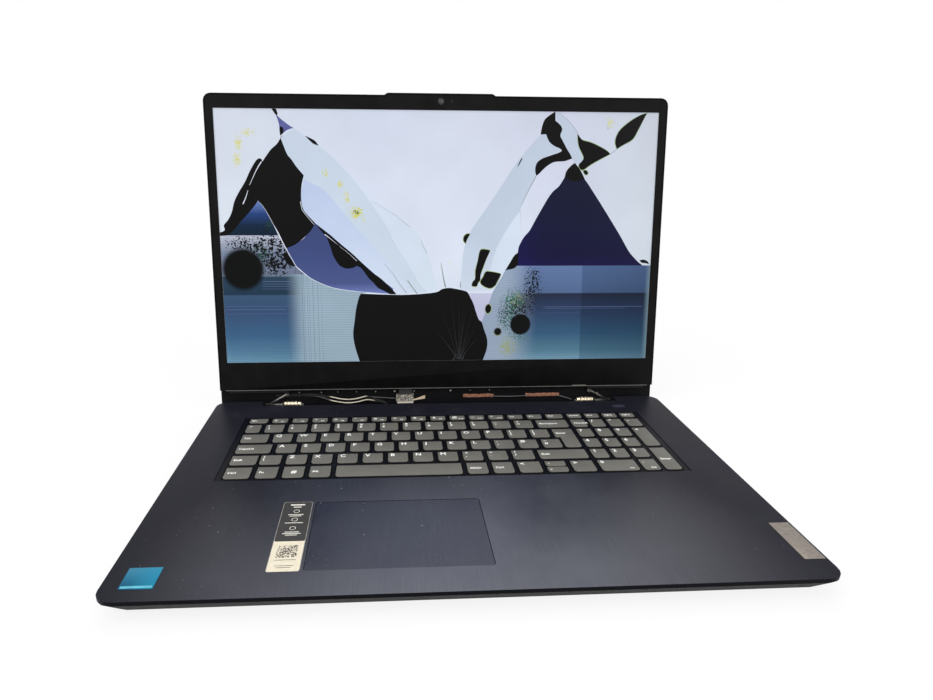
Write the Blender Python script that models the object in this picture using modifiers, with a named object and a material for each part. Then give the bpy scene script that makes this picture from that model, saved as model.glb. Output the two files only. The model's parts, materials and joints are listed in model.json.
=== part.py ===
"""A broken 17 inch laptop, lid open, with its hinge cap missing.

Run with: blender --background --python part.py
Units are metres. +X is to the right, +Y to the back and +Z up. The frame's
origin is under the middle of the open laptop's box, on the desk.

Two empties carry the pieces. base_frame has the front edge of the base at
y = 0 and the desk at z = 0. lid_frame lies on the hinge axis: its +Y runs up
the screen and its +Z out of the screen, so a depth into the lid is a minus z.
"""
import math

import bmesh
import bpy
from mathutils import Vector

MM = 0.001

# Clearances
GAP = 0.3 * MM            # between pieces that touch on the real laptop
KEY_CLEARANCE = 0.6 * MM  # round a key in its opening

# Base
WIDTH = 399.0 * MM
DEPTH = 265.0 * MM
BASE_HEIGHT = 12.5 * MM
FOOT_HEIGHT = 1.5 * MM
LIP_HEIGHT = 2.3 * MM
DECK_WALL = 1.6 * MM
BOTTOM_WALL = 1.5 * MM
BASE_RADIUS = 9.5 * MM
SIDE_TAPER = 4.0 * MM
FRONT_TAPER = 9.0 * MM
REAR_TAPER = 3.0 * MM
FOOT_SINK = 0.7 * MM      # how deep a rubber foot sits in the bottom cover

# Lid
LID_THICKNESS = 5.1 * MM
LID_LENGTH = 266.0 * MM
LID_GAP = 0.8 * MM
LID_WALL = 1.3 * MM
LID_RIM = 1.2 * MM
LID_RADIUS = 6.5 * MM
LID_EDGE_ROUND = 3.2 * MM
TAB_RISE = 1.7 * MM
TAB_HALF = 45.0 * MM
TAB_SLOPE = 2.7 * MM
HINGE_STRIP = 12.7 * MM   # height of the strip that the lost cap covered
BEZEL_WALL = 0.6 * MM
SCREEN_SIDE = 7.85 * MM   # border beside the screen
SCREEN_ABOVE = 12.0 * MM  # border above the screen
SCREEN_BOTTOM = 38.0 * MM
PANEL_THICKNESS = 2.6 * MM
PANEL_SIDE = 2.85 * MM    # what the bezel hides of the panel at each side
PANEL_TOP = 4.3 * MM
PANEL_CHIN = 10.0 * MM
OPEN_ANGLE = math.radians(100.88)
CAMERA_X = 0.6 * MM
CAMERA_BELOW = 4.7 * MM   # camera below the lid's top edge
CAMERA_RADIUS = 2.5 * MM
CAMERA_BOARD = 33.0 * MM  # half the camera board's width

# Hinge
AXIS_BEHIND = 1.0 * MM    # hinge axis behind the base's rear edge
AXIS_BELOW = 3.6 * MM     # and below the deck
RECESS_SIDE = 39.5 * MM   # hinge recess's ends in from the base's sides
RECESS_DEPTH = 10.0 * MM
SHAFT_RADIUS = 1.1 * MM
CHEEK_RADIUS = 3.4 * MM
CHEEK_WALL = 1.2 * MM
CHEEK_INSET = 17.1 * MM   # cheek's outer face in from the recess's end
ARM_ROOT = 13.4 * MM      # arm's root outside the cheek
ARM_TIP = 2.9 * MM        # and its tip inside it
WASHER_RADIUS = 2.5 * MM
NUT_REACH = 16.9 * MM     # end of the nut inside the cheek
LIP_REACH = 5.0 * MM      # the lid's lip under the missing cap
LIP_INSET = 36.0 * MM     # lip's ends in from the recess's ends
SKIRT_REACH = 3.2 * MM
SKIRT_INSET = 2.0 * MM
END_REACH = 1.0 * MM

# Keyboard
KEYS_LEFT = -163.5 * MM
KEYS_RIGHT = 101.5 * MM
KEYS_AHEAD = 131.2 * MM   # front row's front edge ahead of the hinge recess
KEY_WIDTH = 15.2 * MM
KEY_DEPTH = 14.9 * MM
KEY_SPACE = 3.43 * MM
FUNCTION_WIDTH = 13.1 * MM
FUNCTION_DEPTH = 8.8 * MM
FRONT_ROW_DEPTH = 16.6 * MM
PAD_LEFT = 105.0 * MM
PAD_WIDTH = 12.4 * MM
PAD_SPACE = 3.1 * MM
NARROW_SPACE = 1.8 * MM
KEY_PROUD = 0.3 * MM
KEY_HEIGHT = 1.9 * MM
KEY_TRAVEL = 1.4 * MM
KEY_DRAFT = 0.45 * MM
KEY_RADIUS = 1.9 * MM
KEY_STEM = 1.6 * MM
WELL_DEPTH = 0.4 * MM
WELL_MARGIN = 5.0 * MM
WELL_FRONT = 2.5 * MM
PLATE_DROP = 1.8 * MM
PLATE_WALL = 0.8 * MM
PLATE_RIM = 1.4 * MM

# Touchpad and power button
TOUCHPAD_LEFT = -95.0 * MM
TOUCHPAD_WIDTH = 105.5 * MM
TOUCHPAD_FRONT = 21.0 * MM
TOUCHPAD_SPACE = 32.8 * MM # between the touchpad and the keys
TOUCHPAD_WALL = 1.9 * MM
TOUCHPAD_SUNK = 0.15 * MM
TOUCHPAD_PRESS = 0.6 * MM
POWER_X = 157.8 * MM
POWER_AHEAD = 12.5 * MM
POWER_WIDTH = 12.0 * MM
POWER_DEPTH = 6.0 * MM
POWER_TRAVEL = 0.5 * MM

# Inside
BOARD_WALL = 1.2 * MM
BOARD_AHEAD = 29.0 * MM   # main board's rear edge ahead of the hinge recess
BOARD_DEPTH = 100.0 * MM
BOARD_SIDE = 19.5 * MM    # main board's left edge in from the base's side
BOARD_RIGHT = -12.0 * MM
IO_LEFT = 120.0 * MM
IO_SIDE = 17.5 * MM
IO_INSET = 4.0 * MM       # small board's edges in from the main board's
MEMORY_LEFT = -84.0 * MM
MEMORY_WIDTH = 67.6 * MM
STORAGE_RIGHT = -98.0 * MM
RADIO_LEFT = -36.0 * MM
RADIO_WIDTH = 22.0 * MM
DRIVE_SPACE = 8.0 * MM     # between the battery and the drive
DRIVE_SIDE = 16.65 * MM
DRIVE_HEIGHT = 7.0 * MM
SPEAKER_WIDTH = 48.0 * MM
SPEAKER_DEPTH = 8.6 * MM
SPEAKER_HEIGHT = 5.0 * MM
SPEAKER_INSET = 24.5 * MM # left speaker's end in from the base's side
BATTERY_HEIGHT = 5.6 * MM
BATTERY_LEFT = -105.0 * MM
BATTERY_WIDTH = 210.0 * MM
BATTERY_FRONT = 24.0 * MM
BATTERY_SPACE = 38.0 * MM  # between the battery and the main board
FAN_X = 25.0 * MM
FAN_AHEAD = 58.0 * MM
FAN_SIZE = 66.0 * MM
FAN_INLET = 23.0 * MM
FAN_RADIUS = 26.0 * MM
FAN_HUB = 11.0 * MM
FAN_BLADES = 19
PIN_RADIUS = 1.0 * MM
CPU_X = -60.0 * MM
CPU_BEHIND = 70.0 * MM    # processor behind the main board's front edge
CPU_SIZE = 34.0 * MM
PIPE_RADIUS = 1.3 * MM
WIRE_RADIUS = 0.45 * MM
PORT_HEIGHT = 5.8 * MM
SHELL_WALL = 0.45 * MM
SCREW_HEAD = 2.6 * MM
SCREW_RECESS = 3.4 * MM
BOSS_RADIUS = 3.0 * MM

# Heights above the desk
FLOOR = FOOT_HEIGHT + BOTTOM_WALL
DECK = FOOT_HEIGHT + BASE_HEIGHT
SEAM = DECK - LIP_HEIGHT
DECK_UNDER = DECK - DECK_WALL
KEY_TOP = DECK + KEY_PROUD
KEY_UNDER = KEY_TOP - KEY_HEIGHT
PLATE_TOP = DECK_UNDER - PLATE_DROP
PLATE_UNDER = PLATE_TOP - PLATE_WALL
SEAT = FLOOR + GAP
BOARD_TOP = SEAT + BOARD_WALL
MODULE_Z = BOARD_TOP + 1.1 * MM
PORT_Z = BOARD_TOP + 0.4 * MM

# Places that follow from the sizes
AXIS_Y = DEPTH + AXIS_BEHIND
AXIS_Z = DECK - AXIS_BELOW
RECESS_Y = DEPTH - RECESS_DEPTH
RECESS_HALF = WIDTH / 2 - RECESS_SIDE
CHEEK_X = RECESS_HALF - CHEEK_INSET
ARM_ROOT_X = CHEEK_X + ARM_ROOT
ARM_TIP_X = CHEEK_X - ARM_TIP
NUT_END_X = CHEEK_X - NUT_REACH
LIP_HALF = RECESS_HALF - LIP_INSET
SKIRT_HALF = RECESS_HALF - SKIRT_INSET
LEAF_END_X = WIDTH / 2 - 8.2 * MM        # outer end of the lid's hinge leaf
BRACKET_END_X = WIDTH / 2 - 14.6 * MM    # and of the base's
SCREEN_WIDTH = WIDTH - 2 * SCREEN_SIDE
SCREEN_HEIGHT = LID_LENGTH - SCREEN_BOTTOM - SCREEN_ABOVE
CAMERA_Y = LID_LENGTH - CAMERA_BELOW
KEYS_FRONT = RECESS_Y - KEYS_AHEAD
POWER_Y = RECESS_Y - POWER_AHEAD
BOARD_REAR = RECESS_Y - BOARD_AHEAD
BOARD_FRONT = BOARD_REAR - BOARD_DEPTH
BOARD_LEFT = -WIDTH / 2 + BOARD_SIDE
FAN_Y = RECESS_Y - FAN_AHEAD
CPU_Y = BOARD_FRONT + CPU_BEHIND
IO_FRONT = BOARD_FRONT + IO_INSET
SPEAKER_FRONT = FRONT_TAPER + 2.2 * MM
DRIVE_FRONT = SPEAKER_FRONT + SPEAKER_DEPTH + 0.7 * MM
DRIVE_BACK = IO_FRONT - 10.0 * MM
DRIVE_LEFT = BATTERY_LEFT + BATTERY_WIDTH + DRIVE_SPACE
BATTERY_DEPTH = BOARD_FRONT - BATTERY_SPACE - BATTERY_FRONT
TOUCHPAD_DEPTH = KEYS_FRONT - TOUCHPAD_SPACE - TOUCHPAD_FRONT
FACE = AXIS_BELOW + LID_GAP              # depth of the bezel's face
BACK = FACE + LID_THICKNESS              # depth of the lid's back
INNER = BACK - LID_WALL                  # depth of the cover's inner floor
PANEL_FACE = FACE + BEZEL_WALL + GAP
PANEL_BACK = PANEL_FACE + PANEL_THICKNESS
ARM_FACE = INNER - 2.8 * MM              # depth of the hinge leaf's face
ARM_WALL = 1.2 * MM
WIRE_DEPTH = INNER - GAP - WIRE_RADIUS
LID_REACH = LID_LENGTH + TAB_RISE
LID_REAR = (AXIS_Y - (LID_REACH - LID_EDGE_ROUND) * math.cos(OPEN_ANGLE)
            + BACK * math.sin(OPEN_ANGLE))
ORIGIN_Y = LID_REAR / 2
MODEL = "laptop"
OVER = 1.0 * MM                          # how far a cutter runs past a face


def clear_scene():
    """Removes every object of the opened file."""
    for item in list(bpy.data.objects):
        bpy.data.objects.remove(item, do_unlink=True)


def make_collection(name):
    """Links a new collection to the scene."""
    group = bpy.data.collections.new(name)
    bpy.context.scene.collection.children.link(group)
    return group


def material(name, colour, roughness, metallic=0.0):
    """Makes a Principled material."""
    made = bpy.data.materials.new(name)
    made.use_nodes = True
    shader = made.node_tree.nodes["Principled BSDF"]
    shader.inputs["Base Color"].default_value = (*colour, 1.0)
    shader.inputs["Roughness"].default_value = roughness
    shader.inputs["Metallic"].default_value = metallic
    made.diffuse_color = (*colour, 1.0)
    return made


def empty(name, location, parent=None, turn=0.0):
    """Makes an empty, turned about X."""
    made = bpy.data.objects.new(name, None)
    made.location = location
    made.rotation_euler.x = turn
    made.parent = parent
    bpy.context.scene.collection.objects.link(made)
    return made


# Shapes. Each returns a new bmesh.

def block(low, high):
    """A box between two corners."""
    bm = bmesh.new()
    bmesh.ops.create_cube(bm, size=1.0)
    size = [b - a for a, b in zip(low, high)]
    middle = [(a + b) / 2 for a, b in zip(low, high)]
    bmesh.ops.scale(bm, vec=size, verts=bm.verts)
    bmesh.ops.translate(bm, vec=middle, verts=bm.verts)
    return bm


def round_block(low, high, radius, segments=3, corners=lambda v: True):
    """A box whose upright edges are rounded where corners says so."""
    bm = block(low, high)
    upright = [e for e in bm.edges
               if abs(e.verts[0].co.z - e.verts[1].co.z) > (high[2] - low[2]) / 2
               and corners(e.verts[0].co)]
    bmesh.ops.bevel(bm, geom=upright, offset=radius, segments=segments, profile=0.5, affect="EDGES")
    return bm


def rod(start, end, radius, sides=16, end_radius=None):
    """A cylinder or cone between two points."""
    start, end = Vector(start), Vector(end)
    bm = bmesh.new()
    bmesh.ops.create_cone(bm, cap_ends=True, segments=sides, radius1=radius,
                          radius2=radius if end_radius is None else end_radius,
                          depth=(end - start).length)
    turn = Vector((0, 0, 1)).rotation_difference(end - start).to_matrix()
    bmesh.ops.rotate(bm, cent=(0, 0, 0), matrix=turn, verts=bm.verts)
    bmesh.ops.translate(bm, vec=(start + end) / 2, verts=bm.verts)
    return bm


def prism(outline, low, high, axis="Z"):
    """A flat outline given thickness along Z, or along X with its points as (y, z)."""
    bm = bmesh.new()
    place = (lambda p: (p[0], p[1], low)) if axis == "Z" else (lambda p: (low, p[0], p[1]))
    face = bm.faces.new([bm.verts.new(place(p)) for p in outline])
    grown = bmesh.ops.extrude_face_region(bm, geom=[face])
    side = [v for v in grown["geom"] if isinstance(v, bmesh.types.BMVert)]
    travel = (0, 0, high - low) if axis == "Z" else (high - low, 0, 0)
    bmesh.ops.translate(bm, vec=travel, verts=side)
    bmesh.ops.recalc_face_normals(bm, faces=bm.faces)
    return bm


def gather(shapes):
    """Puts several shapes in one bmesh."""
    bm = bmesh.new()
    for shape in shapes:
        mesh = bpy.data.meshes.new("piece")
        shape.to_mesh(mesh)
        shape.free()
        bm.from_mesh(mesh)
        bpy.data.meshes.remove(mesh)
    return bm


def shrink_end(bm, z, x_scale, y_low, y_high):
    """Moves the points at height z so that the box tapers to the given sizes."""
    ys = [v.co.y for v in bm.verts]
    first, last = min(ys), max(ys)
    for vert in bm.verts:
        if abs(vert.co.z - z) < MM / 100:
            vert.co.x *= x_scale
            vert.co.y = y_low + (vert.co.y - first) / (last - first) * (y_high - y_low)


def arc(centre, radius, first, last, steps):
    """Points of an arc, from one angle in degrees to another."""
    angles = [math.radians(first + (last - first) * i / steps) for i in range(steps + 1)]
    return [(centre[0] + radius * math.cos(a), centre[1] + radius * math.sin(a)) for a in angles]


def from_lid(x, up, depth):
    """The base_frame point of a point in the lid: up the screen, and depth into it."""
    return (x,
            AXIS_Y - up * math.cos(OPEN_ANGLE) + depth * math.sin(OPEN_ANGLE),
            AXIS_Z + up * math.sin(OPEN_ANGLE) + depth * math.cos(OPEN_ANGLE))


class Builder:
    """Makes the objects, and keeps their collections and frames."""

    def __init__(self):
        self.parts = make_collection(MODEL)
        self.cutters = make_collection(MODEL + "_cutters")
        self.base = empty("base_frame", (0, -ORIGIN_Y, 0))
        self.lid = empty("lid_frame", (0, AXIS_Y, AXIS_Z), self.base, math.pi - OPEN_ANGLE)

    def part(self, name, bm, finish, parent, origin=(0, 0, 0)):
        """Makes one piece, with its origin on its joint where it moves."""
        bmesh.ops.translate(bm, vec=[-c for c in origin], verts=bm.verts)
        mesh = bpy.data.meshes.new(name)
        bm.to_mesh(mesh)
        bm.free()
        mesh.materials.append(finish)
        made = bpy.data.objects.new(name, mesh)
        made.location = origin
        made.parent = parent
        self.parts.objects.link(made)
        return made

    def change(self, part, shapes, operation):
        """Cuts the shapes from a piece or joins them to it."""
        bm = gather(shapes)
        mesh = bpy.data.meshes.new(part.name + "_tool")
        bm.to_mesh(mesh)
        bm.free()
        tool = bpy.data.objects.new(mesh.name, mesh)
        tool.parent = part.parent
        tool.hide_render = True
        tool.display_type = "WIRE"
        self.cutters.objects.link(tool)
        boolean = part.modifiers.new(operation.lower(), "BOOLEAN")
        boolean.operation = operation
        boolean.solver = "EXACT"
        boolean.use_self = True
        boolean.object = tool

    def cut(self, part, shapes):
        """Cuts the shapes from a piece."""
        self.change(part, shapes, "DIFFERENCE")

    def join(self, part, shapes):
        """Joins the shapes to a piece."""
        self.change(part, shapes, "UNION")

    def tube(self, name, points, radius, finish, parent, resolution=2):
        """A wire or pipe along a POLY spline, made a closed mesh."""
        curve = bpy.data.curves.new(name + "_path", "CURVE")
        curve.dimensions = "3D"
        curve.bevel_depth = radius
        curve.bevel_resolution = resolution
        curve.use_fill_caps = True
        spline = curve.splines.new("POLY")
        spline.points.add(len(points) - 1)
        for slot, point in zip(spline.points, points):
            slot.co = (*point, 1.0)
        path = bpy.data.objects.new(name + "_path", curve)
        bpy.context.scene.collection.objects.link(path)
        bpy.context.view_layer.update()
        seen = path.evaluated_get(bpy.context.evaluated_depsgraph_get())
        bm = bmesh.new()
        mesh = bpy.data.meshes.new_from_object(seen)
        bm.from_mesh(mesh)
        bmesh.ops.remove_doubles(bm, verts=bm.verts, dist=MM / 1000)
        bmesh.ops.recalc_face_normals(bm, faces=bm.faces)
        bpy.data.objects.remove(path, do_unlink=True)
        return self.part(name, bm, finish, parent)


def filleted_path(corners, reach, steps=2):
    """Points of a path whose corners are rounded by curves that reach back from each corner."""
    corners = [Vector(c) for c in corners]
    points = [corners[0]]
    for before, corner, after in zip(corners, corners[1:], corners[2:]):
        start = corner + (before - corner) * min(0.48, reach / (before - corner).length)
        end = corner + (after - corner) * min(0.48, reach / (after - corner).length)
        for i in range(steps + 1):
            u = i / steps
            points.append(start * (1 - u) ** 2 + corner * (2 * u * (1 - u)) + end * u ** 2)
    return points + [corners[-1]]


# Keyboard layout. A key is (name or None, left, right, front, back).

def row_fronts():
    """Front edges of the six rows, from the space bar's row to the function keys."""
    fronts = [KEYS_FRONT, KEYS_FRONT + FRONT_ROW_DEPTH + KEY_SPACE]
    for _ in range(3):
        fronts.append(fronts[-1] + KEY_DEPTH + KEY_SPACE)
    fronts.append(fronts[-1] + KEY_DEPTH + KEY_SPACE)
    return fronts


def run_of_keys(left, front, depth, widths, names):
    """Keys side by side from a left edge."""
    keys = []
    for i, width in enumerate(widths):
        keys.append((names.get(i), left, left + width, front, front + depth))
        left += width + KEY_SPACE
    return keys


def stretch_last(keys, right):
    """Lets the last key of a row reach the block's right edge."""
    name, left, _, front, back = keys[-1]
    return keys[:-1] + [(name, left, right, front, back)]


def letter_keys():
    """The main block's keys, apart from the stepped enter key and the arrow pair."""
    rows = row_fronts()
    escape, tick, tab, caps, shift = (v * MM for v in (15.2, 11.9, 21.2, 26.6, 17.8))
    control, slash, arrow = (v * MM for v in (18.5, 15.6, 17.0))
    space = 90.3 * MM
    keys = stretch_last(
        run_of_keys(KEYS_LEFT, rows[5], FUNCTION_DEPTH, [escape] + [FUNCTION_WIDTH] * 14 + [KEY_WIDTH],
                    {0: "key_escape"}), KEYS_RIGHT)
    keys += stretch_last(
        run_of_keys(KEYS_LEFT, rows[4], KEY_DEPTH, [tick] + [KEY_WIDTH] * 13,
                    {13: "key_backspace"}), KEYS_RIGHT)
    keys += run_of_keys(KEYS_LEFT, rows[3], KEY_DEPTH, [tab] + [KEY_WIDTH] * 12, {0: "key_tab"})
    keys += run_of_keys(KEYS_LEFT, rows[2], KEY_DEPTH, [caps] + [KEY_WIDTH] * 12, {0: "key_caps_lock"})
    fifth = stretch_last(
        run_of_keys(KEYS_LEFT, rows[1], KEY_DEPTH, [shift, slash] + [KEY_WIDTH] * 9 + [slash + MM, shift],
                    {0: "key_shift_left", 12: "key_shift_right"}), KEYS_RIGHT)
    name, left, _, front, back = fifth[0]
    fifth[0] = (name, left, fifth[1][1] - NARROW_SPACE, front, back)
    keys += fifth
    keys += run_of_keys(KEYS_LEFT, rows[0], FRONT_ROW_DEPTH,
                        [control, KEY_WIDTH, KEY_WIDTH, KEY_WIDTH, space, KEY_WIDTH, KEY_WIDTH, arrow],
                        {4: "key_space", 7: "key_arrow_left"})
    keys.append(("key_arrow_right", KEYS_RIGHT - arrow, KEYS_RIGHT, rows[0], rows[0] + FRONT_ROW_DEPTH))
    return keys


def pad_keys():
    """The number pad's keys: four columns, two of them with a tall key."""
    rows = row_fronts()
    lefts = [PAD_LEFT + i * (PAD_WIDTH + PAD_SPACE) for i in range(4)]
    keys = [(None, x, x + PAD_WIDTH, rows[5], rows[5] + FUNCTION_DEPTH) for x in lefts]
    keys += [(None, x, x + PAD_WIDTH, rows[4], rows[4] + KEY_DEPTH) for x in lefts]
    for row in (3, 2, 1):
        keys += [(None, x, x + PAD_WIDTH, rows[row], rows[row] + KEY_DEPTH) for x in lefts[:3]]
    keys.append((None, lefts[0], lefts[1] + PAD_WIDTH, rows[0], rows[0] + FRONT_ROW_DEPTH))
    keys.append((None, lefts[2], lefts[2] + PAD_WIDTH, rows[0], rows[0] + FRONT_ROW_DEPTH))
    keys.append(("key_number_plus", lefts[3], lefts[3] + PAD_WIDTH, rows[2], rows[3] + KEY_DEPTH))
    keys.append(("key_number_enter", lefts[3], lefts[3] + PAD_WIDTH, rows[0], rows[1] + KEY_DEPTH))
    return keys


def arrow_pair():
    """The half-height up and down keys, and the opening that they share."""
    rows = row_fronts()
    right_key = letter_keys()[-1]
    left_key = letter_keys()[-2]
    left, right = left_key[2] + KEY_SPACE, right_key[1] - KEY_SPACE
    middle = rows[0] + FRONT_ROW_DEPTH / 2
    up = ("key_arrow_up", left, right, middle + KEY_CLEARANCE / 2, rows[0] + FRONT_ROW_DEPTH)
    down = ("key_arrow_down", left, right, rows[0], middle - KEY_CLEARANCE / 2)
    return up, down


def enter_outline(grow):
    """The stepped enter key's outline, grown by a clearance."""
    rows = row_fronts()
    tab_row = [k for k in letter_keys() if k[3] == rows[3]]
    caps_row = [k for k in letter_keys() if k[3] == rows[2]]
    upper = tab_row[-1][2] + KEY_SPACE - grow
    lower = caps_row[-1][2] + NARROW_SPACE - grow
    right = KEYS_RIGHT + grow
    step = rows[3] - grow
    front, back = rows[2] - grow, rows[3] + KEY_DEPTH + grow
    return [(lower, front), (right, front), (right, back), (upper, back), (upper, step), (lower, step)]


def key_cap(key):
    """A key cap: upright back corners, rounded front ones, and a drafted top."""
    _, left, right, front, back = key
    middle = (front + back) / 2
    bm = round_block((left, front, KEY_UNDER), (right, back, KEY_TOP), KEY_RADIUS, 2,
                     lambda c: c.y < middle)
    x_mid = (left + right) / 2
    for vert in bm.verts:
        if vert.co.z > KEY_TOP - MM / 10:
            vert.co.x = x_mid + (vert.co.x - x_mid) * (1 - 2 * KEY_DRAFT / (right - left))
            vert.co.y = middle + (vert.co.y - middle) * (1 - 2 * KEY_DRAFT / (back - front))
    return bm


def opening_for(key):
    """The hole in the deck that a key moves in."""
    _, left, right, front, back = key
    middle = (front + back) / 2
    return round_block((left - KEY_CLEARANCE, front - KEY_CLEARANCE, DECK_UNDER - OVER),
                       (right + KEY_CLEARANCE, back + KEY_CLEARANCE, DECK + OVER),
                       KEY_RADIUS, 1, lambda c: c.y < middle)


def key_centre(key):
    """The middle of a key, at its underside."""
    return ((key[1] + key[2]) / 2, (key[3] + key[4]) / 2, KEY_UNDER)


def enter_centre():
    """A point under the stepped enter key's wide part."""
    outline = enter_outline(0)
    return ((outline[0][0] + outline[1][0]) / 2, (outline[0][1] + outline[2][1]) / 2, KEY_UNDER)


def moving_keys():
    """The keys that are pieces of their own, apart from the stepped enter key."""
    return [k for k in letter_keys() + pad_keys() if k[0]] + list(arrow_pair())


def well_box():
    """The shallow well round the keys: low and high corners in X and Y."""
    back = row_fronts()[5] + FUNCTION_DEPTH + WELL_FRONT
    right = PAD_LEFT + 4 * PAD_WIDTH + 3 * PAD_SPACE + WELL_MARGIN
    return (KEYS_LEFT - WELL_MARGIN, KEYS_FRONT - WELL_FRONT), (right, back)


# Base pieces

def screw_places():
    """Where the bottom screws stand, as (x, y)."""
    side = WIDTH / 2 - 13.5 * MM
    front_y, middle_y = FRONT_TAPER + 7.0 * MM, BOARD_FRONT
    rear_x, rear_y = CHEEK_X - 7.9 * MM, RECESS_Y - 7.5 * MM
    places = [(s * side, y) for s in (-1, 1) for y in (front_y, middle_y)]
    places += [(s * 62.0 * MM, front_y) for s in (-1, 1)]
    places += [(-rear_x, rear_y), (-75.0 * MM, rear_y), (rear_x, rear_y)]
    return places


def speaker_places():
    """The speakers: name and middle in X."""
    left = -WIDTH / 2 + SPEAKER_INSET + SPEAKER_WIDTH / 2
    return [("speaker_left", left), ("speaker_right", -left - 14.0 * MM)]


def port_places():
    """The sockets in the side walls: name, side, front edge and width."""
    places = [("dc_jack", -1, 23.0, 9.0), ("hdmi_port", -1, 48.0, 15.0), ("usb_port_left", -1, 71.0, 13.1),
              ("usb_port_right", 1, 55.0, 13.1), ("audio_jack", 1, 75.0, 7.0), ("card_reader", 1, 115.0, 26.0)]
    return [(name, side, RECESS_Y - ahead * MM, width * MM) for name, side, ahead, width in places]


def foot_places():
    """The rubber feet: name, low and high corners in X and Y."""
    front = (FRONT_TAPER + 17.0 * MM, FRONT_TAPER + 26.0 * MM)
    rear = (RECESS_Y - 29.0 * MM, RECESS_Y - 19.0 * MM)
    outer, rear_half = WIDTH / 2 - 27.5 * MM, WIDTH / 2 - 59.5 * MM
    inner = outer - 40.0 * MM
    return [("foot_front_left", (-outer, front[0]), (-inner, front[1])),
            ("foot_front_right", (inner, front[0]), (outer, front[1])),
            ("foot_rear", (-rear_half, rear[0]), (rear_half, rear[1]))]


def tray(inset, low, high):
    """The bottom cover's tapered form, inset by a wall all round."""
    half = WIDTH / 2 - inset
    bm = round_block((-half, inset, low), (half, DEPTH - inset, high), BASE_RADIUS - inset, 3)
    shrink_end(bm, low, (half - SIDE_TAPER) / half, inset + FRONT_TAPER, DEPTH - inset - REAR_TAPER)
    return bm


def make_bottom_cover(build, finish):
    """The bottom tray, with its vents, screws, port cut-outs and feet recesses."""
    top = SEAM - GAP
    cover = build.part("bottom_cover", tray(0, FOOT_HEIGHT, top), finish, build.base)
    inside = tray(BOTTOM_WALL, FLOOR, top + OVER)
    build.cut(cover, [inside])
    notch_half, notch_y = RECESS_HALF + GAP, RECESS_Y + 4.7 * MM
    build.cut(cover, [block((-notch_half, notch_y, 0), (notch_half, DEPTH + OVER, DECK))])
    bosses = [rod((x, y, FLOOR - GAP), (x, y, DECK_UNDER - GAP), BOSS_RADIUS, 8) for x, y in screw_places()]
    wall_low = notch_y - BOTTOM_WALL
    rear_wall = block((-notch_half, wall_low, FOOT_HEIGHT + GAP), (notch_half, notch_y, FLOOR + 2.2 * MM))
    build.join(cover, bosses + [rear_wall])
    holes = []
    for _, side, front, width in port_places():
        x = side * WIDTH / 2
        outer, inner = x + side * OVER, x - side * 7 * MM
        holes.append(block((min(outer, inner), front - GAP, PORT_Z - GAP),
                           (max(outer, inner), front + width + GAP, top + OVER)))
    for _, low, high in foot_places():
        holes.append(block((low[0] - GAP, low[1] - GAP, 0), (high[0] + GAP, high[1] + GAP,
                                                           FOOT_HEIGHT + FOOT_SINK)))
    holes += vent_slots() + speaker_slots()
    build.cut(cover, holes)
    build.cut(cover, [ring_cut(x, y) for x, y in screw_places()])
    return cover


def vent_slots():
    """Two rows of air slots in the floor under the fan."""
    length, width, pitch = 15.0 * MM, 2.2 * MM, 4.4 * MM
    slots = []
    for row in (-1, 1):
        y = FAN_Y + row * (length / 2 + 1.5 * MM)
        for i in range(13):
            x = FAN_X + (i - 6) * pitch
            slots.append(block((x - width / 2, y - length / 2, 0), (x + width / 2, y + length / 2, FLOOR + OVER)))
    return slots


def speaker_slots():
    """Two short rows of slots in the floor under the speakers."""
    width, pitch, length = 1.6 * MM, 3.6 * MM, 5.0 * MM
    slots = []
    low = SPEAKER_FRONT + 1.3 * MM
    for _, centre in speaker_places():
        for i in range(9):
            x = centre + (i - 4) * pitch
            slots.append(block((x - width / 2, low, 0), (x + width / 2, low + length, FLOOR + OVER)))
    return slots


def ring_cut(x, y):
    """The round gap about a bottom screw's head, which lies a little in from the floor's face."""
    depth, sunk = 0.8 * MM, 0.2 * MM
    bm = rod((x, y, 0), (x, y, FOOT_HEIGHT + depth), SCREW_RECESS, 12)
    top = max(bm.faces, key=lambda f: f.calc_center_median().z)
    bm.normal_update()
    bmesh.ops.inset_individual(bm, faces=[top], thickness=SCREW_RECESS - SCREW_HEAD)
    bmesh.ops.inset_individual(bm, faces=[top], thickness=MM / 100, depth=sunk - depth)
    return bm


def make_feet(build, finish):
    """The rubber feet, seated in their recesses."""
    for name, low, high in foot_places():
        shape = round_block((*low, 0), (*high, FOOT_HEIGHT + FOOT_SINK - GAP), 3.0 * MM, 2)
        build.part(name, shape, finish, build.base)


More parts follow.
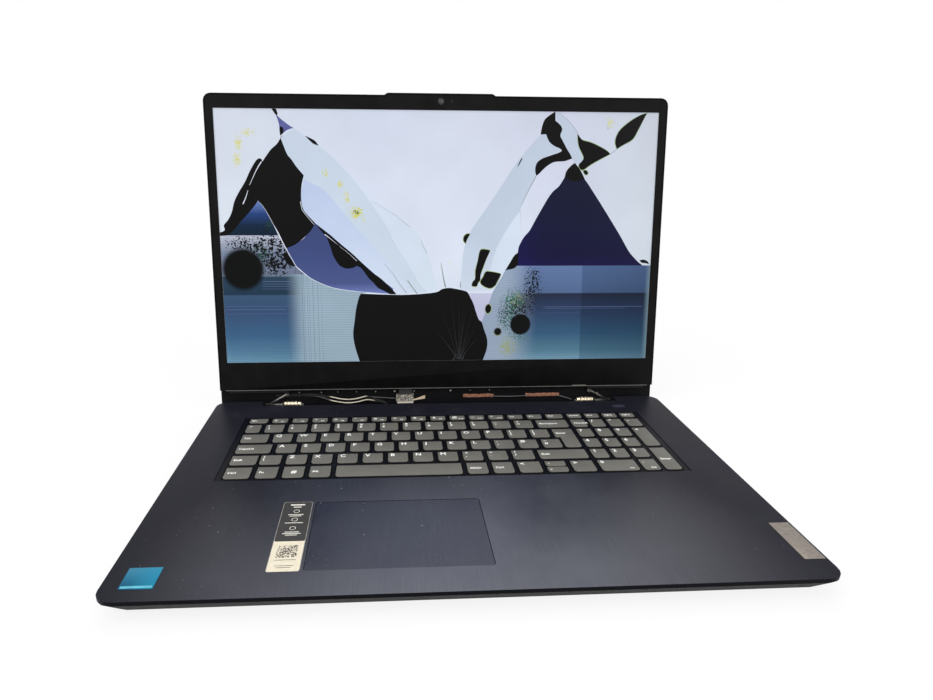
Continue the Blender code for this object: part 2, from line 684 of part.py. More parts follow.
def make_palmrest(build, finish):
    """The deck: a skirted plate with the key lattice and the hinge recess."""
    half = WIDTH / 2
    deck = build.part(
        "palmrest_cover", round_block((-half, 0, SEAM), (half, DEPTH, DECK), BASE_RADIUS, 5), finish,
        build.base)
    inside = round_block((-half + DECK_WALL, DECK_WALL, SEAM - OVER),
                         (half - DECK_WALL, DEPTH - DECK_WALL, DECK_UNDER), BASE_RADIUS - DECK_WALL, 5)
    build.cut(deck, [inside])
    trough_low = FLOOR + 2.5 * MM
    walls = [block((-RECESS_HALF - DECK_WALL, RECESS_Y - DECK_WALL, trough_low),
                   (RECESS_HALF + DECK_WALL, RECESS_Y, DECK_UNDER + GAP))]
    for side in (-1, 1):
        inner, outer = side * RECESS_HALF, side * (RECESS_HALF + DECK_WALL)
        walls.append(block((min(inner, outer), RECESS_Y - GAP, trough_low),
                           (max(inner, outer), RECESS_Y + 4.5 * MM, DECK_UNDER + GAP)))
    build.join(deck, walls)
    low, high = well_box()
    build.cut(deck, [block((*low, DECK - WELL_DEPTH), (*high, DECK + OVER)),
                     block((-RECESS_HALF, RECESS_Y, 0), (RECESS_HALF, DEPTH + OVER, DECK + OVER))])
    up, down = arrow_pair()
    holes = [opening_for(k) for k in letter_keys() + pad_keys()]
    holes.append(opening_for((None, up[1], up[2], down[3], up[4])))
    holes.append(prism(enter_outline(KEY_CLEARANCE), DECK_UNDER - OVER, DECK + OVER))
    build.cut(deck, holes)
    pad_low = (TOUCHPAD_LEFT - GAP, TOUCHPAD_FRONT - GAP, DECK_UNDER - OVER)
    pad_high = (TOUCHPAD_LEFT + TOUCHPAD_WIDTH + GAP, TOUCHPAD_FRONT + TOUCHPAD_DEPTH + GAP, DECK + OVER)
    others = [round_block(pad_low, pad_high, 1.8 * MM, 2), power_form(GAP, DECK_UNDER - OVER, DECK + OVER)]
    others += exhaust_slots(trough_low)
    build.cut(deck, others + [cable_hole(-44.7 * MM, 3.8 * MM), cable_hole(-32.0 * MM, 13.0 * MM)])
    return deck


def cable_hole(x, width):
    """A hole in the recess's front wall for a cable, centred on x."""
    return block((x - width / 2, RECESS_Y - DECK_WALL - OVER, 6.6 * MM),
                 (x + width / 2, RECESS_Y + OVER, 10.0 * MM))


def exhaust_slots(low):
    """Warm air leaves through slots in the recess's front wall."""
    slots = []
    for i in range(12):
        x = FAN_X - 30.0 * MM + i * 5.2 * MM
        slots.append(block((x, RECESS_Y - DECK_WALL - OVER, low + MM), (x + 3.4 * MM, RECESS_Y + OVER,
                                                                       low + 4.6 * MM)))
    return slots


def power_form(grow, low, high):
    """The power button's round-ended outline, grown by a clearance."""
    x, y = POWER_WIDTH / 2 + grow, POWER_DEPTH / 2 + grow
    return round_block((POWER_X - x, POWER_Y - y, low), (POWER_X + x, POWER_Y + y, high), y * 0.98, 4)


def make_power_button(build, finish):
    """The button in the deck, with its stem."""
    top = DECK - 0.1 * MM
    button = build.part("power_button", power_form(0, DECK_UNDER - 0.4 * MM, top), finish, build.base,
                        (POWER_X, POWER_Y, top))
    stem = rod((POWER_X, POWER_Y, DECK_UNDER - 2.6 * MM), (POWER_X, POWER_Y, DECK_UNDER), 1.5 * MM, 12)
    build.join(button, [stem])


def make_touchpad(build, plate_finish, bracket_finish):
    """The pad, hinged along its back edge, and the bracket that it clicks on."""
    top = DECK - TOUCHPAD_SUNK
    low = (TOUCHPAD_LEFT, TOUCHPAD_FRONT, top - TOUCHPAD_WALL)
    right, back = TOUCHPAD_LEFT + TOUCHPAD_WIDTH, TOUCHPAD_FRONT + TOUCHPAD_DEPTH
    pad = round_block(low, (right, back, top), 1.5 * MM, 2)
    build.part("touchpad", pad, plate_finish, build.base, ((TOUCHPAD_LEFT + right) / 2, back, top))
    under = low[2]
    sheet_top = under - 1.25 * MM
    ear = 1.2 * MM
    sheet = block((TOUCHPAD_LEFT - 2.5 * MM, TOUCHPAD_FRONT, sheet_top - 0.8 * MM),
                  (right + 2.5 * MM, back + 2.5 * MM, sheet_top))
    bracket = build.part("touchpad_bracket", sheet, bracket_finish, build.base)
    stop = under - GAP - TOUCHPAD_PRESS
    posts = [block((x, back - 4 * MM, sheet_top - GAP), (x + 8 * MM, back - MM, under - GAP))
             for x in (TOUCHPAD_LEFT + 6 * MM, right - 14 * MM)]
    posts.append(rod(((TOUCHPAD_LEFT + right) / 2, TOUCHPAD_FRONT + 8 * MM, sheet_top - GAP),
                     ((TOUCHPAD_LEFT + right) / 2, TOUCHPAD_FRONT + 8 * MM, stop), 3 * MM, 12))
    for x in (TOUCHPAD_LEFT - 2.5 * MM, right + 2.5 * MM - ear):
        posts.append(block((x, TOUCHPAD_FRONT + MM, sheet_top - GAP), (x + ear, back + 2 * MM, DECK_UNDER - GAP)))
    build.join(bracket, posts)


def make_keyboard(build, plate_finish, key_finish):
    """The keyboard plate with its fixed caps, and each key that is a piece of its own."""
    low, high = well_box()
    rim_low = (low[0] + MM, low[1] + MM * 0.5)
    rim_high = (high[0] - MM, high[1] - MM * 0.5)
    plate = build.part("keyboard_plate", block((*rim_low, PLATE_UNDER), (*rim_high, PLATE_TOP)),
                       plate_finish, build.base)
    plate.data.materials.append(key_finish)
    rim_top = DECK_UNDER - GAP
    rims = []
    for x in (rim_low[0], rim_high[0] - PLATE_RIM):
        rims.append(block((x, rim_low[1], PLATE_TOP - GAP), (x + PLATE_RIM, rim_high[1], rim_top)))
    stems, caps = [], []
    for key in letter_keys() + pad_keys():
        if key[0] is None:
            x, y, _ = key_centre(key)
            half = 2.0 * MM
            stems.append(block((x - half, y - half, PLATE_TOP - GAP), (x + half, y + half, KEY_UNDER + GAP)))
            caps.append(key_cap(key))
    build.join(plate, rims + stems)
    build.join(plate, caps)
    guides = []
    for key in moving_keys():
        make_key(build, key[0], key_cap(key), key_centre(key), key_finish)
        guides.append(key_centre(key))
    drafted = prism(enter_outline(0), KEY_UNDER, KEY_TOP)
    make_key(build, "key_enter", drafted, enter_centre(), key_finish)
    guides.append(enter_centre())
    build.cut(plate, [rod((x, y, PLATE_UNDER - OVER), (x, y, PLATE_TOP + OVER), KEY_STEM + GAP, 12)
                      for x, y, _ in guides])


def make_key(build, name, cap, centre, finish):
    """One moving key: its cap on a round stem that runs in the plate."""
    key = build.part(name, cap, finish, build.base, centre)
    x, y, z = centre
    build.join(key, [rod((x, y, PLATE_UNDER + GAP), (x, y, z + GAP), KEY_STEM, 12)])


# Inner pieces

def board_blocks():
    """The main board's sockets and chips: left and right, depths behind its front edge, and height."""
    left, memory_right = BOARD_LEFT, MEMORY_LEFT + MEMORY_WIDTH
    return [(MEMORY_LEFT, memory_right, 34.3, 39.0, 2.6),
            (STORAGE_RIGHT + GAP, STORAGE_RIGHT + 4.5 * MM, 44.0, 66.0, 2.4),
            (RADIO_LEFT, RADIO_LEFT + RADIO_WIDTH, 36.0, 40.0, 2.4),
            (-38.0 * MM, -26.0 * MM, 96.0, 100.0, 1.5),
            (left + 4 * MM, left + 20 * MM, 6.0, 22.0, 1.3), (left + 30 * MM, left + 52 * MM, 4.0, 26.0, 1.0),
            (left + 10 * MM, left + 30 * MM, 74.0, 88.0, 1.6), (-125.0 * MM, -96.0 * MM, 79.0, 86.0, 2.0)]


def make_boards(build, board, copper):
    """The main board, the small board, and the modules plugged into them."""
    main = build.part("motherboard", block((BOARD_LEFT, BOARD_FRONT, SEAT), (BOARD_RIGHT, BOARD_REAR, BOARD_TOP)),
                      board, build.base)
    die = CPU_SIZE / 2 - 4 * MM
    die_height = 0.8 * MM
    on_board = [block((CPU_X - die, CPU_Y - die, BOARD_TOP - GAP), (CPU_X + die, CPU_Y + die,
                                                                    BOARD_TOP + die_height))]
    for left, right, front, back, height in board_blocks():
        on_board.append(block((left, BOARD_FRONT + front * MM, BOARD_TOP - GAP),
                              (right, BOARD_FRONT + back * MM, BOARD_TOP + height * MM)))
    build.join(main, on_board)
    small = build.part("io_board", block((IO_LEFT, IO_FRONT, SEAT),
                                         (WIDTH / 2 - IO_SIDE, BOARD_REAR - IO_INSET, BOARD_TOP)), board, build.base)
    build.join(small, [block((IO_LEFT + 8 * MM, IO_FRONT + 30 * MM, BOARD_TOP - GAP),
                             (IO_LEFT + 20 * MM, IO_FRONT + 42 * MM, BOARD_TOP + MM)),
                       block((IO_LEFT + 2 * MM, IO_FRONT + 65 * MM, BOARD_TOP - GAP),
                             (IO_LEFT + 7 * MM, IO_FRONT + 85 * MM, BOARD_TOP + 1.8 * MM))])
    module(build, "memory_module", (MEMORY_LEFT, BOARD_FRONT + 4 * MM),
           (MEMORY_LEFT + MEMORY_WIDTH, BOARD_FRONT + 34 * MM), 8, board)
    module(build, "ssd_module", (BOARD_LEFT + 2 * MM, BOARD_FRONT + 44 * MM),
           (STORAGE_RIGHT, BOARD_FRONT + 66 * MM), 3, board)
    module(build, "wifi_card", (RADIO_LEFT, BOARD_FRONT + 40 * MM + GAP),
           (RADIO_LEFT + RADIO_WIDTH, BOARD_FRONT + 70 * MM), 1, board)
    half = CPU_SIZE / 2
    low = BOARD_TOP + die_height + GAP
    build.part("cold_plate", round_block((CPU_X - half, CPU_Y - half, low), (CPU_X + half, CPU_Y + half, low + MM),
                                         3 * MM, 2), copper, build.base)


def module(build, name, low, high, chips, finish):
    """A plug-in card with a row of flat chips on it."""
    (x0, y0), (x1, y1) = low, high
    top = MODULE_Z + MM
    card = build.part(name, block((x0, y0, MODULE_Z), (x1, y1, top)), finish, build.base)
    pitch = (x1 - x0) / chips
    flats = [block((x0 + (i + 0.14) * pitch, y0 + 4 * MM, top - GAP),
                   (x0 + (i + 0.86) * pitch, y1 - 5 * MM, top + 0.6 * MM)) for i in range(chips)]
    build.join(card, flats)


def make_battery(build, finish):
    """The flat battery pack: three cells in one wrap."""
    right, back = BATTERY_LEFT + BATTERY_WIDTH, BATTERY_FRONT + BATTERY_DEPTH
    top = SEAT + BATTERY_HEIGHT
    pack = build.part("battery_pack", round_block((BATTERY_LEFT, BATTERY_FRONT, SEAT), (right, back, top),
                                                  2.5 * MM, 2), finish, build.base)
    third = BATTERY_WIDTH / 3
    grooves = [block((BATTERY_LEFT + i * third - MM, BATTERY_FRONT - OVER, top - 1.2 * MM),
                     (BATTERY_LEFT + i * third + MM, back + OVER, top + OVER)) for i in (1, 2)]
    build.cut(pack, grooves)


def make_drive(build, finish):
    """The 2.5 inch drive in the right palm rest."""
    right, top = WIDTH / 2 - DRIVE_SIDE, SEAT + DRIVE_HEIGHT
    shape = round_block((DRIVE_LEFT, DRIVE_FRONT, SEAT), (right, DRIVE_BACK, top), 2 * MM, 2)
    drive = build.part("hard_drive", shape, finish, build.base)
    radius = (right - DRIVE_LEFT) / 2 - 6.925 * MM
    middle = (right - radius - 6.85 * MM, DRIVE_BACK - radius - 9.5 * MM)
    build.cut(drive, [rod((*middle, top - 0.5 * MM), (*middle, top + OVER), radius, 24)])


def make_speakers(build, finish):
    """The two speakers at the front, each a box with a round cone."""
    for name, centre in speaker_places():
        half, back = SPEAKER_WIDTH / 2, SPEAKER_FRONT + SPEAKER_DEPTH
        box = build.part(name, round_block((centre - half, SPEAKER_FRONT, SEAT),
                                           (centre + half, back, SEAT + SPEAKER_HEIGHT), 2 * MM, 2),
                         finish, build.base)
        y = (SPEAKER_FRONT + back) / 2
        build.cut(box, [rod((centre, y, SEAT - OVER), (centre, y, SEAT + MM), SPEAKER_DEPTH / 2 - 0.9 * MM, 16)])


def make_cooling(build, shell_finish, blade_finish, copper, fin_finish):
    """The fan in its housing, the fins behind it and the pipe from the cold plate."""
    half, top = FAN_SIZE / 2, PLATE_UNDER - GAP
    housing = build.part("fan_housing", round_block(
        (FAN_X - half, FAN_Y - half, SEAT), (FAN_X + half, FAN_Y + half, top), 12 * MM, 3,
        lambda c: c.y < FAN_Y), shell_finish, build.base)
    wall = 0.8 * MM
    room = round_block((FAN_X - half + wall, FAN_Y - half + wall, SEAT + wall),
                       (FAN_X + half - wall, FAN_Y + half + OVER, top - wall), 11 * MM, 3,
                       lambda c: c.y < FAN_Y)
    inlets = [rod((FAN_X, FAN_Y, top - wall - OVER), (FAN_X, FAN_Y, top + OVER), FAN_INLET, 24)]
    build.cut(housing, [room])
    for i in range(3):
        inlets.append(inlet_sector(i, SEAT - OVER, SEAT + wall + OVER))
    build.cut(housing, inlets)
    wheel_top = top - wall - 0.6 * MM
    bore_top = wheel_top - MM
    build.join(housing, [rod((FAN_X, FAN_Y, SEAT + wall / 2), (FAN_X, FAN_Y, bore_top - GAP), PIN_RADIUS, 12)])
    make_impeller(build, blade_finish, SEAT + wall + 0.4 * MM, wheel_top, bore_top)
    fin_front, fin_back, fin_top = FAN_Y + half + 1.5 * MM, RECESS_Y - DECK_WALL - MM, PLATE_UNDER - 3.2 * MM
    left, right = FAN_X - half + 2 * MM, FAN_X + half
    fins = build.part("heat_sink", block((left, fin_front, SEAT), (right, fin_back, fin_top)),
                      fin_finish, build.base)
    pitch = 2.6 * MM
    slots = [block((left + 1.2 * MM + i * pitch, fin_front - OVER, SEAT + 0.5 * MM),
                   (left + 2.6 * MM + i * pitch, fin_back + OVER, fin_top - 0.5 * MM))
             for i in range(int((right - left) / pitch) - 1)]
    build.cut(fins, slots)
    z = fin_top + GAP + PIPE_RADIUS
    pipe_y = (fin_front + fin_back) / 2
    knots = [(CPU_X - 14 * MM, CPU_Y, z), (CPU_X + 10 * MM, CPU_Y + 2 * MM, z), (-27.0 * MM, CPU_Y + 22 * MM, z),
             (-8.0 * MM, pipe_y - 3 * MM, z), (18.0 * MM, pipe_y, z), (right - 2 * MM, pipe_y, z)]
    build.tube("heat_pipe", filleted_path(knots, 9 * MM, 3), PIPE_RADIUS, copper, build.base)


def inlet_sector(number, low, high):
    """One of three air openings in the fan housing's floor, between its spokes."""
    first, last = 120 * number + 10, 120 * number + 110
    centre = (FAN_X, FAN_Y)
    outline = arc(centre, FAN_INLET - 2 * MM, first, last, 6) + arc(centre, 7 * MM, last, first, 3)
    return prism(outline, low, high)


def make_impeller(build, finish, low, high, bore_top):
    """The fan wheel: a hub on the housing's pin, a thin ring and curved blades."""
    wheel = build.part("fan_impeller", rod((FAN_X, FAN_Y, low), (FAN_X, FAN_Y, high), FAN_HUB, 20), finish,
                       build.base, (FAN_X, FAN_Y, low))
    blades = []
    for i in range(FAN_BLADES):
        turn = 360.0 * i / FAN_BLADES
        blades.append(blade(turn, low + 0.5 * MM, high - 0.2 * MM))
    ring = rod((FAN_X, FAN_Y, low + 1.2 * MM), (FAN_X, FAN_Y, low + 1.8 * MM), FAN_RADIUS - 3 * MM, 24)
    build.join(wheel, [ring])
    build.join(wheel, blades)
    build.cut(wheel, [rod((FAN_X, FAN_Y, low - OVER), (FAN_X, FAN_Y, bore_top), PIN_RADIUS + GAP, 12)])


def blade(turn, low, high):
    """A blade that curves back from the hub to the rim."""
    inner, outer, sweep, half = FAN_HUB - MM, FAN_RADIUS, 22.0, 0.35 * MM
    sides = ([], [])
    for i in range(3):
        part = i / 2
        radius = inner + (outer - inner) * part
        angle = math.radians(turn + sweep * part * part)
        lean = math.radians(90) + angle
        for side, sign in zip(sides, (-1, 1)):
            side.append((FAN_X + radius * math.cos(angle) + sign * half * math.cos(lean),
                         FAN_Y + radius * math.sin(angle) + sign * half * math.sin(lean)))
    return prism(sides[0] + sides[1][::-1], low, high)


def make_ports(build, steel, plastic):
    """The sockets: shells open at the side wall, with a tongue or a pin inside."""
    face, back = WIDTH / 2 - 2.1 * MM, WIDTH / 2 - 17.0 * MM
    for name, side, front, width in port_places():
        xs = sorted((side * face, side * back))
        finish = plastic if name in ("audio_jack", "dc_jack") else steel
        shell = build.part(name, block((xs[0], front, PORT_Z), (xs[1], front + width, PORT_Z + PORT_HEIGHT)),
                           finish, build.base)
        y, z = front + width / 2, PORT_Z + PORT_HEIGHT / 2
        mouth, end = side * (face + OVER), side * (face - 10 * MM)
        if name in ("audio_jack", "dc_jack"):
            radius = 1.75 * MM if name == "audio_jack" else 2.4 * MM
            build.cut(shell, [rod((mouth, y, z), (end, y, z), radius, 16)])
        else:
            cavity = (front + SHELL_WALL, PORT_Z + SHELL_WALL)
            cavity_top = (front + width - SHELL_WALL, PORT_Z + PORT_HEIGHT - SHELL_WALL)
            cx = sorted((mouth, end))
            build.cut(shell, [block((cx[0], *cavity), (cx[1], *cavity_top))])
            tx = sorted((side * (face - MM), side * (face - 11 * MM)))
            build.join(shell, [block((tx[0], front + 1.2 * MM, z - 0.3 * MM),
                                     (tx[1], front + width - 1.2 * MM, z + MM))])
        if name == "dc_jack":
            build.join(shell, [rod((side * (face - MM), y, z), (side * (face - 11 * MM), y, z), 0.5 * MM, 8)])


# Hinges

def make_hinges(build, steel, nickel):
    """Both hinges: a bracket on the base, and a shaft with its arm and leaf on the lid."""
    for name, side in (("left", -1), ("right", 1)):
        make_bracket(build, "hinge_bracket_" + name, side, steel)
        make_arm(build, "hinge_arm_" + name, side, steel)
        make_washers(build, "hinge_washers_" + name, side, nickel)


def between(side, a, b):
    """Two x values, mirrored to one side and put in order."""
    return sorted((side * a, side * b))


def make_bracket(build, name, side, finish):
    """The base's hinge bracket: a leaf on the floor and a cheek round the shaft."""
    leaf_x = between(side, CHEEK_X - CHEEK_WALL, BRACKET_END_X)
    leaf_top = SEAT + CHEEK_WALL
    leaf_back = RECESS_Y + 2.9 * MM
    leaf = block((leaf_x[0], RECESS_Y - 27.0 * MM, SEAT), (leaf_x[1], leaf_back, leaf_top))
    bracket = build.part(name, leaf, finish, build.base)
    cheek_x = between(side, CHEEK_X - CHEEK_WALL, CHEEK_X)
    front = RECESS_Y + 0.4 * MM
    outline = [(front, SEAT), (leaf_back, SEAT), (leaf_back, FLOOR + 2.6 * MM)]
    outline += arc((AXIS_Y, AXIS_Z), CHEEK_RADIUS, -110, 110, 8)
    outline += [(front, AXIS_Z - CHEEK_RADIUS / 2)]
    build.join(bracket, [prism(outline, *cheek_x, axis="X")])
    holes = [rod((cheek_x[0] - OVER, AXIS_Y, AXIS_Z), (cheek_x[1] + OVER, AXIS_Y, AXIS_Z),
                 SHAFT_RADIUS + GAP, 16)]
    first, last = CHEEK_X + 8 * MM, BRACKET_END_X - 6 * MM
    for part in (0, 0.5, 1):
        x = side * (first + (last - first) * part)
        y = RECESS_Y - 15.0 * MM
        holes.append(rod((x, y, SEAT - OVER), (x, y, leaf_top + OVER), 1.6 * MM, 10))
    build.cut(bracket, holes)


def make_arm(build, name, side, finish):
    """The lid's part of a hinge: shaft, slanted arm and the leaf behind the bezel."""
    shaft = rod((side * (ARM_ROOT_X + MM), 0, 0), (side * (NUT_END_X - 1.4 * MM), 0, 0), SHAFT_RADIUS, 16)
    arm = build.part(name, shaft, finish, build.lid)
    leaf_x = between(side, ARM_TIP_X - 2 * MM, LEAF_END_X)
    leaf_low, leaf_high = 10.0 * MM, SCREEN_BOTTOM - PANEL_CHIN - 2.0 * MM
    leaf = block((leaf_x[0], leaf_low, -ARM_FACE - ARM_WALL), (leaf_x[1], leaf_high, -ARM_FACE))
    root = rod((side * (ARM_ROOT_X - 1.2 * MM), 0, 0), (side * (ARM_ROOT_X + 1.4 * MM), 0, 0), 1.9 * MM, 12)
    tip_y, tip_radius = 8.3 * MM, 2.0 * MM
    tip = rod((side * ARM_TIP_X, tip_y, -ARM_FACE), (side * ARM_TIP_X, tip_y, -ARM_FACE - ARM_WALL),
              tip_radius, 12)
    start = Vector((side * ARM_ROOT_X, 0, -0.4 * MM))
    end = Vector((side * (ARM_TIP_X + 0.5 * MM), 8.0 * MM, -ARM_FACE - ARM_WALL / 2))
    bar = rod(start, end, 0.95 * MM, 6)
    build.join(arm, [root])
    build.join(arm, [leaf])
    build.join(arm, [tip])
    build.join(arm, [bar])
    holes = [rod((x, (leaf_low + leaf_high) / 2, -ARM_FACE + OVER),
                 (x, (leaf_low + leaf_high) / 2, -ARM_FACE - ARM_WALL - OVER), 1.5 * MM, 10)
             for x in leaf_screws(side)]
    build.cut(arm, holes)


def leaf_screws(side):
    """The x places of the screws that hold a hinge leaf to the lid."""
    first, last = ARM_TIP_X + 6 * MM, LEAF_END_X - 7.3 * MM
    return [side * (first + (last - first) * part) for part in (0, 0.5, 1)]


def make_washers(build, name, side, finish):
    """The friction washers and the nut on a shaft, turned as one stack of rings."""
    start, end = CHEEK_X - CHEEK_WALL - GAP, NUT_END_X
    bore = SHAFT_RADIUS + GAP
    rings = 6
    pitch = (start - end - 3.4 * MM) / rings
    profile = [(start, bore)]
    for i in range(rings):
        x = start - i * pitch
        crown = WASHER_RADIUS * (1.0 if i % 2 else 0.84)
        profile += [(x, crown), (x - pitch * 0.7, crown), (x - pitch * 0.7, WASHER_RADIUS * 0.7),
                    (x - pitch, WASHER_RADIUS * 0.7)]
    nut = start - rings * pitch
    profile += [(nut, WASHER_RADIUS * 1.06), (end, WASHER_RADIUS * 1.06), (end, bore)]
    bm = bmesh.new()
    verts = [bm.verts.new((side * x, 0, radius)) for x, radius in profile]
    for a, b in zip(verts, verts[1:] + verts[:1]):
        bm.edges.new((a, b))
    stack = build.part(name, bm, finish, build.lid)
    screw = stack.modifiers.new("turn", "SCREW")
    screw.axis = "X"
    screw.steps = 10
    screw.render_steps = 10
    screw.use_merge_vertices = True
    screw.merge_threshold = 0.00001
    screw.use_normal_calculate = True
    screw.use_normal_flip = True


# Lid pieces

def lid_outline(inset, bottom):
    """The lid's outline with its raised tab, inset by a wall, from a bottom edge."""
    half, top = WIDTH / 2 - inset, LID_LENGTH - inset
    radius = LID_RADIUS - inset
    points = [(-half, bottom), (half, bottom)]
    points += arc((half - radius, top - radius), radius, 0, 90, 5)
    tab, slope = TAB_HALF - inset, TAB_SLOPE
    points += [(tab + slope, top), (tab, top + TAB_RISE), (-tab, top + TAB_RISE), (-tab - slope, top)]
    points += arc((-half + radius, top - radius), radius, 90, 180, 5)
    return points


def make_lid_cover(build, finish):
    """The lid's back shell, open at the strip that the lost cap covered."""
    outline = lid_outline(0, -END_REACH)
    steps = [(SKIRT_HALF, -END_REACH), (SKIRT_HALF, -SKIRT_REACH), (LIP_HALF, -SKIRT_REACH),
             (LIP_HALF, -LIP_REACH)]
    foot = [(-x, y) for x, y in steps] + steps[::-1]
    outline = outline[:1] + foot + outline[1:]
    rim = FACE + 0.2 * MM
    bm = prism(outline, -BACK, -rim)
    edge = [e for e in bm.edges if all(v.co.z < -BACK + MM / 100 for v in e.verts)]
    bmesh.ops.bevel(bm, geom=edge, offset=LID_EDGE_ROUND, segments=3, profile=0.5, affect="EDGES",
                    clamp_overlap=True)
    cover = build.part("lid_cover", bm, finish, build.lid)
    inside = lid_outline(LID_RIM, -LIP_REACH + LID_RIM)
    side = WIDTH / 2 + OVER
    pocket = [prism(inside, -INNER, -rim + OVER)]
    strips = [block((min(s * LIP_HALF, s * side), -LIP_REACH - OVER, -INNER),
                    (max(s * LIP_HALF, s * side), HINGE_STRIP, 0)) for s in (-1, 1)]
    build.cut(cover, pocket)
    build.cut(cover, strips)
    lip_top = block((-LIP_HALF - OVER, -LIP_REACH - OVER, -FACE - 1.1 * MM), (LIP_HALF + OVER, HINGE_STRIP, 0))
    build.cut(cover, [lip_top])
    hooks = [block((x - 1.2 * MM, 9.0 * MM, -INNER - GAP), (x + 1.2 * MM, 10.2 * MM, -INNER + 1.3 * MM))
             for x in hook_places()]
    bosses = [rod((x, 18.0 * MM, -INNER - GAP), (x, 18.0 * MM, -ARM_FACE - ARM_WALL - GAP), BOSS_RADIUS, 10)
              for s in (-1, 1) for x in leaf_screws(s)]
    build.join(cover, hooks + bosses)


def hook_places():
    """The row of hooks that the lost cap snapped on."""
    return [(-129.5 + 17.5 * i) * MM for i in range(15)]


def make_bezel(build, finish):
    """The frame in front of the screen."""
    inset = LID_RIM + GAP
    bezel = build.part("bezel", prism(lid_outline(inset, HINGE_STRIP), -FACE - BEZEL_WALL, -FACE), finish,
                       build.lid)
    half = SCREEN_WIDTH / 2
    build.cut(bezel, [block((-half, SCREEN_BOTTOM, -BACK), (half, SCREEN_BOTTOM + SCREEN_HEIGHT, 0)),
                      rod((CAMERA_X, CAMERA_Y, -BACK), (CAMERA_X, CAMERA_Y, 0), CAMERA_RADIUS + 0.35 * MM, 20)])


def crack_lines():
    """The panel's main cracks as points (x, up the screen), from the two blows."""
    blow_left, blow_right = (-136.0, 230.4), (119.6, 210.9)
    lines = [
        [(-141.3, 253.0), (-126.5, 238.1), blow_left],
        [blow_left, (-105.0, 224.2), (-88.5, 211.5), (-49.7, 167.0), (-35.2, 142.1)],
        [(-67.9, 188.9), (-23.2, 155.1), (-13.6, 139.5)],
        [blow_left, (-125.0, 210.1), (-117.7, 200.0), (-117.4, 169.4), (-109.8, 158.4), (-133.1, 138.8)],
        [blow_left, (-153.6, 213.0), (-175.5, 186.0), (-187.4, 157.6)],
        [(-144.4, 154.2), (-130.8, 128.0), (-104.8, 107.9), (-78.0, 101.2), (-45.3, 97.5)],
        [blow_right, (149.4, 169.5), (171.3, 136.0), (186.2, 123.3)],
        [blow_right, (99.8, 184.4), (77.8, 150.1), (68.3, 122.8)],
        [(87.7, 234.6), (50.1, 182.9), (22.1, 136.9)],
        [(181.7, 253.2), (155.0, 231.8), blow_right],
    ]
    return [[(x * MM, y * MM) for x, y in line] for line in lines]


def crack_cutter(start, end):
    """A shallow V-shaped groove between two points on the panel's face."""
    start, end = Vector((*start, -PANEL_FACE)), Vector((*end, -PANEL_FACE))
    along = (end - start).normalized()
    start, end = start - along * 0.2 * MM, end + along * 0.2 * MM
    return rod(start, end, 0.25 * MM, 4)


def make_panel(build, finish):
    """The display panel, its face cracked from two blows."""
    half = SCREEN_WIDTH / 2 + PANEL_SIDE
    low = (-half, SCREEN_BOTTOM - PANEL_CHIN, -PANEL_BACK)
    high = (half, SCREEN_BOTTOM + SCREEN_HEIGHT + PANEL_TOP, -PANEL_FACE)
    panel = build.part("display_panel", block(low, high), finish, build.lid)
    for line in crack_lines():
        build.cut(panel, [crack_cutter(a, b) for a, b in zip(line, line[1:])])


def make_lid_electronics(build, board, copper):
    """The camera board, the two aerials and the foil strips on the lid's floor."""
    low_y = SCREEN_BOTTOM + SCREEN_HEIGHT + PANEL_TOP + 0.7 * MM
    camera = build.part("camera_board", block((-CAMERA_BOARD, low_y, -PANEL_FACE - BOARD_WALL),
                                              (CAMERA_BOARD, low_y + 6.0 * MM, -PANEL_FACE)), board, build.lid)
    build.join(camera, [rod((CAMERA_X, CAMERA_Y, -PANEL_FACE - GAP), (CAMERA_X, CAMERA_Y, -FACE - 0.1 * MM),
                            CAMERA_RADIUS, 16)])
    for name, side in (("antenna_left", -1), ("antenna_right", 1)):
        xs = between(side, 60.0 * MM, 128.0 * MM)
        build.part(name, block((xs[0], low_y + 2.0 * MM, -INNER + GAP), (xs[1], low_y + 5.0 * MM, -INNER + 1.5 * MM)),
                   copper, build.lid)
    for name, left, right in (("foil_strip_left", 21.5, 50.0), ("foil_strip_right", 80.0, 112.0)):
        build.part(name, block((left * MM, 2.7 * MM, -INNER + GAP), (right * MM, 5.9 * MM, -INNER + GAP * 2)),
                   copper, build.lid)


